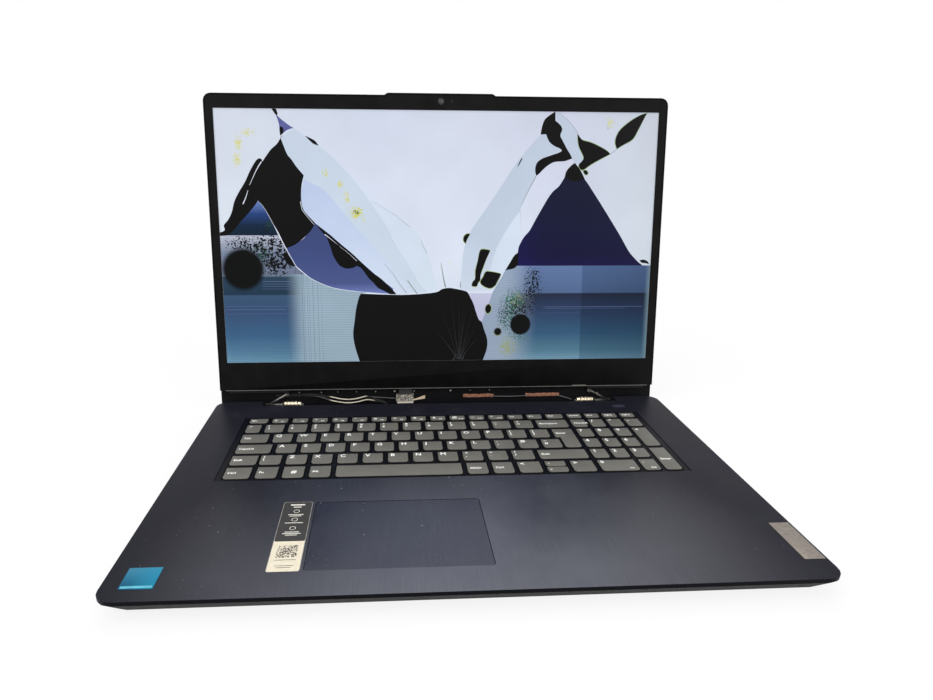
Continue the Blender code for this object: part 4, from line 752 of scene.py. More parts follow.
def rounded_plate(low: Point, high: Point, bottom: float, top: float, radius: float,
                  edge: float = 0.0) -> Form:
    """Makes a flat plate with rounded corners and a small rounded top edge.

    Args:
        low: The lower corner in x and y.
        high: The upper corner in x and y.
        bottom: The lower face's height.
        top: The upper face's height.
        radius: The corners' radius.
        edge: The top edge's radius.

    Returns:
        The plate.
    """
    bm = box_of((*low, bottom), (*high, top))
    upright = [e for e in bm.edges if abs(e.verts[0].co.z - e.verts[1].co.z) > (top - bottom) / 2]
    bmesh.ops.bevel(bm, geom=upright, offset=radius, segments=5, profile=0.5, affect="EDGES", material=-1)
    if edge:
        rim = [e for e in bm.edges if all(v.co.z > top - 0.0001 for v in e.verts)]
        bmesh.ops.bevel(bm, geom=rim, offset=edge, segments=2, profile=0.5, affect="EDGES", material=-1)
    return bm


def tube_along(points: list[Vector], radius: float, name: str, sides: int = 4) -> Form:
    """Makes a round tube with closed ends along points.

    Args:
        points: The centreline.
        radius: The tube's radius, in the points' unit.
        name: A name for the curve while it is made.
        sides: The curve's bevel resolution.

    Returns:
        The tube.
    """
    curve = bpy.data.curves.new(name, "CURVE")
    curve.dimensions = "3D"
    curve.bevel_depth = radius
    curve.bevel_resolution = sides
    curve.use_fill_caps = True
    spline = curve.splines.new("POLY")
    spline.points.add(len(points) - 1)
    for slot, point in zip(spline.points, points):
        slot.co = (*point, 1.0)
    path = bpy.data.objects.new(name, curve)
    bpy.context.scene.collection.objects.link(path)
    bpy.context.view_layer.update()
    mesh = bpy.data.meshes.new_from_object(path.evaluated_get(bpy.context.evaluated_depsgraph_get()))
    bm = bmesh.new()
    bm.from_mesh(mesh)
    bmesh.ops.remove_doubles(bm, verts=bm.verts, dist=radius / 200)
    bmesh.ops.recalc_face_normals(bm, faces=bm.faces)
    bpy.data.objects.remove(path, do_unlink=True)
    return bm


def smooth_path(knots: list[tuple], steps: int = 6) -> list[Vector]:
    """Gives points on a smooth curve through knots.

    Args:
        knots: The knots.
        steps: The points from one knot to the next.

    Returns:
        The points, from the first knot to the last.
    """
    knots = [Vector(k) for k in knots]
    ends = [2 * knots[0] - knots[1]] + knots + [2 * knots[-1] - knots[-2]]
    points = []
    for a, b, c, d in zip(ends, ends[1:], ends[2:], ends[3:]):
        for k in range(steps):
            points.append(between(a, b, c, d, k / steps))
    return points + [knots[-1]]


# The broken screen


@dataclass
class Screen:
    """The lit panel: its pale ground, and the areas that the two blows left on it."""

    frame: Frame
    layer: float = 0.03
    left: float = -191.65
    right: float = 191.65
    bottom: float = 38.0
    top: float = 254.0
    ground: Stops = field(default_factory=lambda: (
        (38.0, srgb(208, 220, 236)), (120.0, srgb(222, 230, 245)), (254.0, srgb(208, 214, 230))))

    def build(self) -> None:
        """Dresses the panel and lays every area on it."""
        self.dress_panel()
        self.lay_rays()
        self.lay_bands()
        self.lay_blue_areas()
        self.lay_ink()
        self.lay_lines()

    def area(self, name: str, outlines: list[list[tuple]], finish: Finish, level: int,
             steps: int = 4) -> bpy.types.Object:
        """Lays one sort of area on the panel.

        Args:
            name: The piece's name.
            outlines: Outlines in the lid's x and y.
            finish: The material.
            level: How many layers it lies above the panel's face.
            steps: How finely rounded stretches are cut.

        Returns:
            The piece.
        """
        traced = [smooth_trace(outline, steps) for outline in outlines]
        kept = [[(min(max(x, self.left), self.right), min(max(y, self.bottom), self.top))
                 for x, y in outline] for outline in traced]
        bm = prisms(kept, -PANEL_FACE - 0.01, -PANEL_FACE + level * self.layer)
        bmesh.ops.triangulate(bm, faces=[f for f in bm.faces if len(f.verts) > 4])
        return self.frame.piece(name, bm, finish, "screen", smooth=False)

    def film(self, name: str, along: Stops, **settings: object) -> Finish:
        """Makes an area's finish from its name, its colours up the screen and other values."""
        return ScreenFilm(name, along, **settings).make(self.frame)

    def dress_panel(self) -> None:
        """Gives the CAD panel its pale lit ground with yellow stains."""
        yellow, olive = srgb(206, 205, 96), srgb(120, 118, 20)
        stains = (Speckle(-174, 213, 6, 12, 0.8, yellow, 1.1), Speckle(-172, 226, 6, 12, 0.75, yellow, 1.1),
                  Speckle(-163, 235, 12, 6.5, 0.7, yellow, 1.1), Speckle(149, 246, 6, 8, 0.7, yellow, 0.9),
                  Speckle(9, 124, 3, 9, 0.4, yellow, 1.0), Speckle(147, 241, 3, 4, 0.5, olive, 1.0))
        film = ScreenFilm("lit_screen", self.ground, across=(
            (-192.0, (1.0, 1.0, 0.97)), (-60.0, (0.98, 0.99, 1.0)), (20.0, (1.0, 1.0, 1.0)),
            (110.0, (0.94, 0.93, 0.95)), (192.0, (0.86, 0.87, 0.84))), speckles=stains)
        panel = bpy.data.objects["display_panel"]
        panel.data.materials.clear()
        panel.data.materials.append(film.make(self.frame))

    def lay_rays(self) -> None:
        """Lays the faintly darker rays that run from the two blows to the bottom middle."""
        outer = [(-136.4, 230.3, 1), (-125, 238.6, 1), (-104.3, 224.3), (-85, 207.4), (-69, 189),
                 (-50, 161.7), (-40, 143), (-30, 127), (-20, 110), (-11, 99.5, 1), (-60, 99, 1),
                 (-110, 150, 1), (-121, 178), (-119, 196), (-131.4, 217.4)]
        far = [(-68, 188, 1), (-56, 178), (-40, 168), (-26, 157), (-17, 146), (-11.4, 133), (-7, 119),
               (-3, 101, 1), (-12, 101, 1), (-24, 117), (-45, 153)]
        inner = [(-117.9, 196.7, 1), (-110.7, 193), (-103.6, 189.6), (-95, 181.7), (-85, 169),
                 (-73.6, 156), (-60, 141.7), (-45, 124), (-33, 110), (-24, 99, 1), (-60, 99, 1),
                 (-110, 150, 1), (-121, 178)]
        right = [(87.6, 235, 1), (92.4, 235.3), (95.7, 228.9), (105, 223.4), (106.4, 221.7, 1),
                 (90, 215.3), (84, 208.9), (84.6, 200.6, 1), (80.7, 193.1), (71.1, 173.1, 1),
                 (72.1, 164.6), (72.4, 152), (70, 137.4), (60, 119), (55, 112), (47, 101, 1), (18, 101, 1),
                 (19.3, 120.3), (20.7, 134.6), (24, 147), (30, 157.4), (50, 186), (69.3, 214.6)]
        strip = [(71, 170, 1), (72.4, 152), (70, 137.4), (60, 119), (50, 104, 1), (42, 104, 1), (50, 137),
                 (65, 163)]
        crown = [(100, 254, 1), (102.9, 254, 1), (111.4, 247.4), (117.9, 240.3), (120.5, 234),
                 (122.1, 224.6), (125.7, 218.1), (126, 214.6), (122.1, 210.3, 1), (118.6, 211.7, 1),
                 (116.1, 215.3, 1), (107.1, 230.3), (105, 234.6), (106.4, 239), (102, 246)]
        yellow, olive = srgb(208, 206, 90), srgb(116, 122, 10)
        stains = (Speckle(-99.5, 202, 5, 8, 0.7, yellow, 1.1),
                  Speckle(-86.5, 192.5, 5, 6, 0.9, yellow, 1.1),
                  Speckle(-81.5, 182, 5, 11, 0.75, yellow, 1.1),
                  Speckle(-73.5, 169, 10, 9, 1.15, yellow, 0.9),
                  Speckle(-73.5, 169.3, 5, 4, 1.0, olive, 1.1), Speckle(-67, 163, 4, 8, 0.5, yellow, 1.0))
        pale = self.film("ray_film", ((99.0, srgb(205, 219, 234)), (238.0, srgb(196, 208, 225))),
                         speckles=stains)
        blue = self.film("inner_ray_film",
                         ((99.0, srgb(212, 224, 242)), (150.0, srgb(196, 210, 236)),
                          (197.0, srgb(186, 200, 230))))
        faint = self.film("faint_ray_film", ((99.0, srgb(213, 226, 240)), (188.0, srgb(211, 221, 238))))
        tall = self.film("right_ray_film",
                         ((101.0, srgb(208, 219, 236)), (150.0, srgb(192, 206, 224)),
                          (236.0, srgb(188, 200, 217))))
        self.area("screen_far_ray", [far], faint, 1)
        self.area("screen_outer_ray", [outer], pale, 1)
        self.area("screen_inner_ray", [inner], blue, 2)
        self.area("screen_right_ray", [right, crown], tall, 1)
        self.area("screen_right_strip", [strip], faint, 2)

    def lay_bands(self) -> None:
        """Lays the dead lower areas with their bands, fine lines and specks."""
        left = [(self.left, 38, 1), (-73, 38, 1), (-76, 70, 1), (-71, 98.6, 1), (-66.4, 100.2),
                (-80.7, 101.6), (-95, 104), (-106.4, 108.1), (-115, 112.4), (-120.7, 116.7),
                (-127.9, 123.1), (-133, 133), (-141.8, 149.6, 1), (self.left, 149.6, 1)]
        ink, teal = srgb(14, 15, 20), srgb(40, 80, 70)
        specks = (Speckle(-160, 135, 24, 20, 0.75, teal, 0.6), Speckle(-150, 140, 34, 18, 0.95, ink, 0.62),
                  Speckle(-141, 126, 24, 18, 0.95, ink, 0.55), Speckle(-174, 142, 24, 11, 0.75, ink, 0.7),
                  Speckle(-150, 124, 18, 15, 0.8, ink, 0.8),
                  Speckle(-98, 102, 4, 2.8, 0.7, srgb(90, 120, 70), 0.8))
        finish = self.film("left_dead_bands",
                           along=((38.0, srgb(108, 150, 176)), (46.0, srgb(86, 128, 158)),
                                  (62.0, srgb(60, 98, 136)), (84.0, srgb(56, 80, 116)),
                                  (97.9, srgb(58, 86, 116)), (98.3, srgb(30, 52, 74)),
                                  (113.6, srgb(42, 66, 88)), (114.6, srgb(104, 126, 142)),
                                  (116.0, srgb(112, 122, 146)), (134.0, srgb(120, 132, 156)),
                                  (149.6, srgb(190, 194, 212))),
                           across=((-191.6, (1.15, 1.15, 1.12)), (-187.0, (1.0, 1.0, 1.0)),
                                   (-76.0, (1.0, 1.0, 1.0))), edge=srgb(158, 180, 196),
                           fade=(-138.0, -118.0), below=116.0, lines=0.16, columns=0.05, speckles=specks,
                           spots=(Spot(-173.4, 120.6, 18.0, 2.6),))
        self.area("screen_left_bands", [left], finish, 3)
        right = [(25, 38, 1), (self.right, 38, 1), (self.right, 122.9, 1), (62, 122.9, 1), (58.6, 118.9),
                 (55, 112), (50, 104), (47, 98.6, 1), (24, 98.6, 1)]
        green, moss, dark = srgb(58, 110, 96), srgb(150, 160, 70), srgb(14, 22, 24)
        specks = (Speckle(66, 90, 19, 22, 0.85, green, 0.9), Speckle(62, 74, 17, 22, 0.75, green, 1.0),
                  Speckle(70, 60, 19, 18, 0.7, green, 1.0), Speckle(62, 50, 17, 17, 0.75, moss, 1.0),
                  Speckle(52.5, 64, 6.5, 9, 0.8, moss, 0.6), Speckle(70, 92, 14, 16, 0.5, moss, 0.75),
                  Speckle(84, 108, 15, 26, 0.85, dark, 0.85), Speckle(80, 92, 17, 26, 0.7, dark, 0.95),
                  Speckle(70, 84, 19, 20, 0.8, dark, 1.1), Speckle(58, 80, 12, 22, 0.65, dark, 1.1))
        finish = self.film("right_dead_bands",
                           along=((38.0, srgb(116, 154, 176)), (46.0, srgb(84, 126, 148)),
                                  (62.0, srgb(54, 92, 124)), (80.0, srgb(46, 66, 100)),
                                  (98.0, srgb(34, 42, 66)), (98.6, srgb(84, 106, 146)),
                                  (112.0, srgb(92, 116, 158)), (122.9, srgb(100, 122, 166))),
                           across=((88.0, (1.0, 1.0, 1.0)), (128.7, (1.0, 1.0, 1.0)),
                                   (129.3, (0.62, 0.68, 0.72)), (192.0, (0.44, 0.5, 0.54))),
                           edge=srgb(154, 170, 192), fade=(90.0, 56.0), far_edge=srgb(120, 146, 160),
                           far_fade=(186.5, 194.0), lines=0.1, speckles=specks,
                           spots=(Spot(73.3, 70.3, 9.4, 0.9), Spot(52.6, 63.9, 3.4, 0.7)))
        self.area("screen_right_bands", [right], finish, 3)
        corner = [(24, 98.6, 1), (47.2, 98.6, 1), (43.5, 88), (37.5, 72, 1), (30, 60, 1)]
        lilac = self.film("lilac_film", ((60.0, srgb(186, 188, 220)), (98.6, srgb(200, 202, 228))),
                          lines=0.04)
        self.area("screen_lilac_corner", [corner], lilac, 4)

    def lay_blue_areas(self) -> None:
        """Lays the areas that turned blue, violet and navy."""
        navy = [(118.6, 211.7, 1), (127.9, 198.1), (130.7, 194.6), (140, 181.7), (150, 167.4),
                (162.1, 149.6), (170.7, 136), (176.4, 129.6), (180.7, 125.6), (184.5, 122.9, 1),
                (69, 122.9, 1), (70, 137.4), (72.1, 143.1), (75, 148.1), (80, 153.9), (85, 163.1),
                (90.7, 173.1), (95.7, 181.7), (100, 187.4), (105, 191.7), (107.9, 196), (110, 199.6),
                (111.4, 204.6), (115, 208.9)]
        finish = self.film("navy_film",
                           ((122.9, srgb(26, 20, 70)), (134.0, srgb(20, 20, 60)),
                            (198.0, srgb(22, 26, 52))),
                           across=((69.0, (1.3, 1.0, 1.5)), (92.0, (1.0, 1.0, 1.0)),
                                   (180.0, (0.9, 0.95, 0.9))), glow=0.5)
        self.area("screen_navy", [navy], finish, 4)
        wedge = [(-140, 250.2, 1), (-136.5, 246.6), (-132, 243.1), (-128, 240.3), (-125, 238.6, 1),
                 (-130, 237), (-134.3, 233.1, 1), (-136.4, 230.3, 1), (-136.9, 238.9), (-137.8, 244)]
        violet = self.film("violet_film",
                           ((230.0, srgb(70, 72, 116)), (241.0, srgb(96, 100, 158)),
                            (250.0, srgb(80, 82, 132))))
        self.area("screen_violet_wedge", [wedge], violet, 3)
        triangle = [(-158.1, 178.4, 1), (-154.3, 174.6), (-150, 167.4), (-145.7, 158.9), (-141.6, 149.6, 1),
                    (-184.8, 149.6, 1), (-173.6, 161), (-162.1, 173.1)]
        blue = self.film("blue_film",
                         ((149.6, srgb(14, 32, 50)), (158.0, srgb(18, 38, 62)), (168.0, srgb(40, 66, 122)),
                          (178.4, srgb(104, 130, 190))),
                         speckles=(Speckle(-149, 157, 8, 10, 0.66, srgb(30, 62, 46), 0.5),
                                   Speckle(-152, 152, 12, 7, 0.6, srgb(10, 14, 20), 0.6)))
        self.area("screen_blue_triangle", [triangle], blue, 4)
        bay = [(-109.6, 160, 1), (-116, 152), (-121, 146), (-135, 138.6, 1), (-131.5, 129.5),
               (-127.4, 123.1), (-120.4, 116.9), (-114.7, 112.6), (-106.2, 108.3), (-95, 104.2),
               (-80.7, 101.8), (-66.4, 100.3), (-44, 98.5, 1), (-42, 103, 1), (-55, 113, 1), (-73, 129, 1),
               (-96, 149.5, 1)]
        lilac = self.film("periwinkle_film",
                          ((98.5, srgb(116, 132, 196)), (108.0, srgb(78, 90, 142)),
                           (130.0, srgb(66, 80, 132)), (160.0, srgb(62, 74, 120))), columns=0.05,
                          glow=0.58)
        self.area("screen_periwinkle_bay", [bay], lilac, 4)

    def lay_ink(self) -> None:
        """Lays the black areas where the liquid has leaked away."""
        big = [(-136.4, 230.3, 1), (-135, 226.7), (-131.4, 217.4), (-127.9, 213), (-123.6, 206.7),
               (-117.9, 200, 1), (-119.8, 193), (-120.7, 186), (-120.7, 178.1), (-119.3, 171.7),
               (-116.4, 167.4), (-109.4, 160, 1), (-113.5, 153.6), (-120.7, 146.7), (-126.4, 142.4),
               (-130.7, 140.2), (-135.4, 138.6, 1), (-138.6, 144.6), (-142.1, 152.4), (-145.7, 158.9),
               (-150, 167.4), (-154.3, 174.6), (-158.1, 178.3, 1), (-162.1, 173.1), (-167.9, 166.7),
               (-173.6, 161), (-179.3, 154.6), (-184.6, 149.6, 1), (-191.7, 149.2, 1), (-191.7, 152, 1),
               (-187.4, 154), (-188, 158.1), (-184.3, 162.4), (-180.7, 168.9), (-177.9, 178.1),
               (-173.6, 186), (-167.9, 194.6), (-163.6, 203.1), (-158.6, 211), (-155.7, 213.6),
               (-153.1, 213.1), (-152.6, 211.2), (-150, 214.6), (-145, 221), (-140, 225.3)]
        band = [(-109.6, 160, 1), (-103.6, 155.3), (-95, 148.1), (-86.4, 141), (-77.9, 133.9),
                (-69.3, 125.7), (-61.4, 118.1), (-54.3, 113.1), (-48.6, 108.1), (-42.9, 102.4),
                (-39.3, 98.2, 1), (-45, 98.2, 1), (-50, 101), (-55.7, 103.9), (-60, 108.9), (-63.6, 112.2),
                (-67.9, 118.3), (-70.7, 121.6), (-74.3, 123.2, 1), (-77.9, 121.4), (-83.6, 121),
                (-88.6, 123.1), (-92.1, 127.4), (-95, 133.1), (-97.1, 140.3), (-99.6, 147),
                (-101, 149.4, 1), (-105.5, 154.6)]
        middle = [(-73.4, 38, 1), (-76.2, 47.4), (-78.1, 56), (-78.6, 64.6), (-77.1, 74.6), (-75.7, 84.6),
                  (-73.6, 93.1), (-71.4, 98.2), (-68, 98.7), (-50, 97.9), (-30, 97.6), (-10, 98.9),
                  (-2.1, 100.3), (1.4, 102.4), (7.1, 103.5), (12.9, 102.9), (21.4, 101), (24.6, 99.6),
                  (27.1, 95.3), (30, 89.6), (32.1, 83.1), (35, 75.3), (37.9, 72.4), (40, 66), (42.6, 58.9),
                  (43.3, 53.1), (42.6, 47.4), (40.7, 41.7), (39.3, 38, 1)]
        splash = [(100, 254, 1), (96.4, 252), (91.4, 248.1), (89.3, 243.9), (88.1, 238.9), (87.6, 235, 1),
                  (92.2, 235.3), (93.6, 232.4), (95.7, 228.9), (100, 225.7), (105, 223.6), (106.6, 221.7),
                  (103.6, 220), (97.9, 218.1), (90, 215.3), (85.7, 212.4), (83.9, 208.9), (83.6, 204.6),
                  (84.6, 200.6, 1), (87.1, 202.4), (90.7, 206), (95, 209.6), (100.7, 212.4),
                  (109.3, 213.1), (116.1, 215.3, 1), (114.3, 218.9), (111.4, 223.1), (107.1, 230.3),
                  (105, 234.6), (106.4, 238.9), (105.3, 242.4), (102.1, 245.3), (100.3, 246.7, 1)]
        arrow = [(120.3, 236, 1), (123.6, 231.7), (126.4, 230.3), (132.1, 228.9), (139.3, 226),
                 (146.4, 222.4), (150, 219.3, 1), (140.7, 214.6), (132.9, 210.3), (125.7, 205.7),
                 (122.1, 209.6), (126, 214.6), (125.7, 218.1), (122.1, 224.6), (120.7, 230.3)]
        leaf = [(181.2, 253.6, 1), (175, 251.7), (166.4, 246.7), (158.6, 240.3), (155, 234.6), (154, 228.9),
                (155.7, 223.6, 1), (160.7, 226.7), (169.3, 231.7), (173.6, 238.9), (177.9, 247.4)]
        cap = [(118.6, 211.7, 1), (115, 208.9), (111.4, 204.6), (110, 199.6, 1), (115, 196.9), (120, 196.1),
               (125, 197.1), (127.9, 198.4, 1), (123.6, 206)]
        left_sliver = [(70, 134.6, 1), (66.4, 131.7), (62.1, 124.6), (58.6, 118.9, 1), (62.1, 119.6),
                       (67.1, 121), (70, 125.3)]
        right_bit = [(181.4, 127.4, 1), (185, 128.1), (188.6, 126.7), (190.7, 123.9, 1), (187.1, 124.9),
                     (183.6, 125.3)]
        top_bit = [(-143, 254, 1), (-139.3, 254, 1), (-138, 249.6), (-139.8, 249.2, 1)]
        joint = [(-136.4, 230.3, 1), (-134.3, 233.1), (-133.8, 238.3), (-136.9, 239.3)]
        sliver = [(-115.7, 232.4, 1), (-110.7, 230.3), (-107.1, 228.1), (-104.3, 224.4, 1), (-108.6, 225.9),
                  (-111.4, 228.1)]
        half_moon = [(26.4, 150.6, 1), (24.3, 151), (21.4, 149.1), (20.7, 145.3), (22.6, 142.4, 1),
                     (23.6, 145.3), (25, 148.1)]
        rod = [(37.1, 137.4), (43.6, 136.7), (44.3, 135.3), (41.4, 128.9), (38.6, 121.7), (36.4, 115.3),
               (36, 110.3), (34.3, 108.1), (32.9, 104.9), (28.6, 105.3), (29.3, 108.9), (31.4, 111.7),
               (31.7, 118.9), (33.6, 127.4), (35, 134.6)]
        fist = [(40.7, 117.4), (44.3, 117.9), (53.6, 116.2), (54.3, 114.6), (52.1, 110.3), (49.3, 105.3),
                (45.7, 103.1), (41.4, 103.9), (37.1, 106.7), (36.4, 109.6), (38.6, 113.1)]
        oval = [(43.9, 88.8), (46.2, 86.4), (45.8, 82.6), (43.2, 80.4), (41.1, 82.8), (41.3, 86.6)]
        drop = [(-138.6, 133.6, 1), (-135, 134.8), (-132.1, 130.3), (-127.4, 123.1, 1), (-132.1, 123.7),
                (-136.4, 127.4)]
        chip = [(126.4, 204.9), (129.3, 205.3), (130.7, 202.9), (128.6, 201.7)]
        thin = [(71.4, 215.6, 1), (72.1, 215, 1), (69.4, 210), (67.6, 207.6, 1), (69.2, 211.6)]
        all_ink = [big, band, middle, splash, arrow, leaf, cap, left_sliver, right_bit, top_bit, joint,
                   sliver, half_moon, rod, fist, oval, drop, chip, thin]
        ink = self.film("leaked_ink", ((38.0, srgb(6, 6, 8)), (254.0, srgb(14, 13, 13))), glow=0.3)
        self.area("screen_leaked_ink", all_ink, ink, 5)
        rims = self.film("ink_rims", ((90.0, srgb(170, 186, 120)), (240.0, srgb(150, 176, 130))))
        grown = [self.grow(outline, 0.55) for outline in (rod, fist, oval, arrow, leaf, half_moon, chip)]
        self.area("screen_ink_rims", grown, rims, 4)

    @staticmethod
    def grow(outline: list[tuple], by: float) -> list[tuple]:
        """Moves an outline's points out from its middle.

        Args:
            outline: The outline.
            by: How far each point moves.

        Returns:
            The larger outline.
        """
        middle_x = sum(p[0] for p in outline) / len(outline)
        middle_y = sum(p[1] for p in outline) / len(outline)
        grown = []
        for point in outline:
            away = Vector((point[0] - middle_x, point[1] - middle_y))
            away *= 1 + by / max(away.length, 1.0)
            grown.append((middle_x + away.x, middle_y + away.y, *point[2:]))
        return grown

    def stroke(self, points: list[Point], start: float, end: float) -> list[Point]:
        """Gives the outline of a thin line.

        Args:
            points: The line's points.
            start: The width at its start.
            end: The width at its end.

        Returns:
            The outline.
        """
        path = [Vector((p.x, p.y)) for p in smooth_path([(x, y, 0) for x, y in points], 4)]
        left, right = [], []
        for i, point in enumerate(path):
            along = (path[min(i + 1, len(path) - 1)] - path[max(i - 1, 0)]).normalized()
            across = Vector((-along.y, along.x)) * (start + (end - start) * i / (len(path) - 1)) / 2
            left.append((*(point + across), 1))
            right.append((*(point - across), 1))
        return left + right[::-1]

    def lay_lines(self) -> None:
        """Lays the white edges, cracks and scratches."""
        white = self.film("crack_white", ((98.0, srgb(226, 230, 240)), (230.0, srgb(214, 220, 234))),
                          glow=0.7)
        curve = [(-158.1, 178.6), (-154.1, 174.6), (-149.8, 167.4), (-145.5, 158.9), (-141.9, 152.4),
                 (-138.4, 144.6), (-134, 135.5), (-127.4, 123.1), (-120.2, 116.7), (-114.7, 112.4),
                 (-106.2, 108.1), (-95, 103.9), (-80.7, 101.4), (-66.4, 100)]
        whites = [self.stroke(curve[:8], 0.2, 0.5), self.stroke(curve[7:], 0.5, 0.25),
                  self.stroke([(-153.4, 211), (-156.4, 206.7), (-160, 200.3), (-164.3, 191.7)], 0.9, 0.3),
                  self.stroke([(-165.8, 187.5), (-167.9, 181.7), (-170.7, 176)], 0.3, 0.9),
                  self.stroke([(-110.4, 158.7), (-117.4, 167.2), (-120.3, 171.6), (-121.6, 178.2)], 0.3,
                              0.5), self.stroke([(-101.5, 150.5), (-96, 146.2), (-90, 141.4)], 0.7, 0.15),
                  self.stroke([(-89, 140.4), (-81, 134), (-74, 127.5)], 0.15, 0.35),
                  self.stroke([(-136.5, 231.5), (-131, 236.2), (-125.8, 238.4)], 0.9, 0.3)]
        self.area("screen_white_edges", whites, white, 6, 1)
        grey = self.film("scratch_grey", ((38.0, srgb(70, 72, 74)), (100.0, srgb(34, 36, 38))), glow=0.5)
        fan = [(4, 56, 0.3), (-3, 64, 0.2), (1, 84, 0.2), (9, 96, 0.2), (17, 96, 0.3), (21, 90, 0.3),
               (24.5, 98, 0.2), (29, 82, 0.25), (31, 66, 0.2), (26, 62, 0.3), (11, 70, 0.2), (34, 58, 0.2)]
        scratches = [self.stroke([(15.5 + i * 0.35, 39), ((15.5 + x) / 2 + 1, (39 + up) / 2), (x, up)],
                                 width, 0.08) for i, (x, up, width) in enumerate(fan)]
        scratches += [self.stroke([(-60, 96.4), (-35, 95.8)], 0.1, 0.2),
                      self.stroke([(12, 38.4), (14.4, 44)], 0.8, 0.3),
                      self.stroke([(20.5, 38.4), (23, 46)], 0.7, 0.2)]
        self.area("screen_scratches", scratches, grey, 6, 1)
        dark = self.film("crack_dark", ((98.0, srgb(96, 112, 96)), (230.0, srgb(130, 140, 150))))
        cracks = [self.stroke([(0.6, 126), (1.4, 121), (3, 112), (4.8, 104)], 0.2, 0.9),
                  self.stroke([(-29.3, 110.3), (-25.5, 105), (-20.7, 98.6)], 0.5, 0.6),
                  self.stroke([(-50, 125.3), (-41.4, 115), (-36.4, 107), (-30, 99)], 0.2, 0.4),
                  self.stroke([(-17.1, 146), (-15.4, 141), (-12, 134)], 0.15, 0.3),
                  self.stroke([(-60, 178.6), (-41.4, 168), (-27, 157)], 0.1, 0.2),
                  self.stroke([(84.6, 200.6), (80.7, 193.1), (76, 184), (71.3, 174)], 0.5, 0.25),
                  self.stroke([(155.7, 223.6), (153, 221.4), (150, 219.3)], 0.35, 0.35),
                  self.stroke([(102.9, 253.8), (111.4, 247), (118.2, 239.8), (120.4, 235.6)], 0.12, 0.3),
                  self.stroke([(54.6, 114.8), (52.6, 110), (49.6, 105)], 0.3, 0.5),
                  self.stroke([(18, 109), (18.2, 104)], 0.4, 0.6)]
        self.area("screen_fine_cracks", cracks, dark, 6, 1)
        violet = self.film("stuck_rows", ((38.0, srgb(96, 96, 168)), (114.0, srgb(110, 130, 168))),
                           glow=0.5)
        rows = [self.stroke([(x0, up), (x1, up)], width, width) for x0, x1, up,
                width in ((-190, -138, 85.3, 0.35), (-190, -134, 88.2, 0.2), (-190, -136, 81.5, 0.2),
                          (-157, -130, 107.6, 0.3), (-157, -130, 109.8, 0.35), (-157, -130, 105.6, 0.25),
                          (-157, -130, 103.4, 0.2), (94, 186, 86.0, 0.3), (96, 170, 84.6, 0.2),
                          (90, 128, 80.4, 0.15))]
        self.area("screen_stuck_rows", rows, violet, 4, 1)
        column = self.film("dead_columns", ((38.0, srgb(86, 110, 136)), (116.0, srgb(66, 92, 112))))
        columns = [self.stroke([(x, 38.3), (x, high)], width, width * 0.7) for x, high,
                   width in ((-122.8, 118, 0.28), (-121.2, 116, 0.2), (-118.5, 115, 0.22),
                             (-116.8, 113, 0.2), (-113.4, 111, 0.3), (-109.2, 109, 0.22),
                             (-106, 107, 0.15), (-135.2, 96, 0.3))]
        self.area("screen_dead_columns", columns, column, 4, 1)


# The keyboard


@dataclass(frozen=True)
class Key:
    """One key: its box in the base's millimetres, its legends, and its CAD node if it moves."""

    left: float
    right: float
    front: float
    back: float
    legend: str = ""
    second: str = ""
    node: str = ""


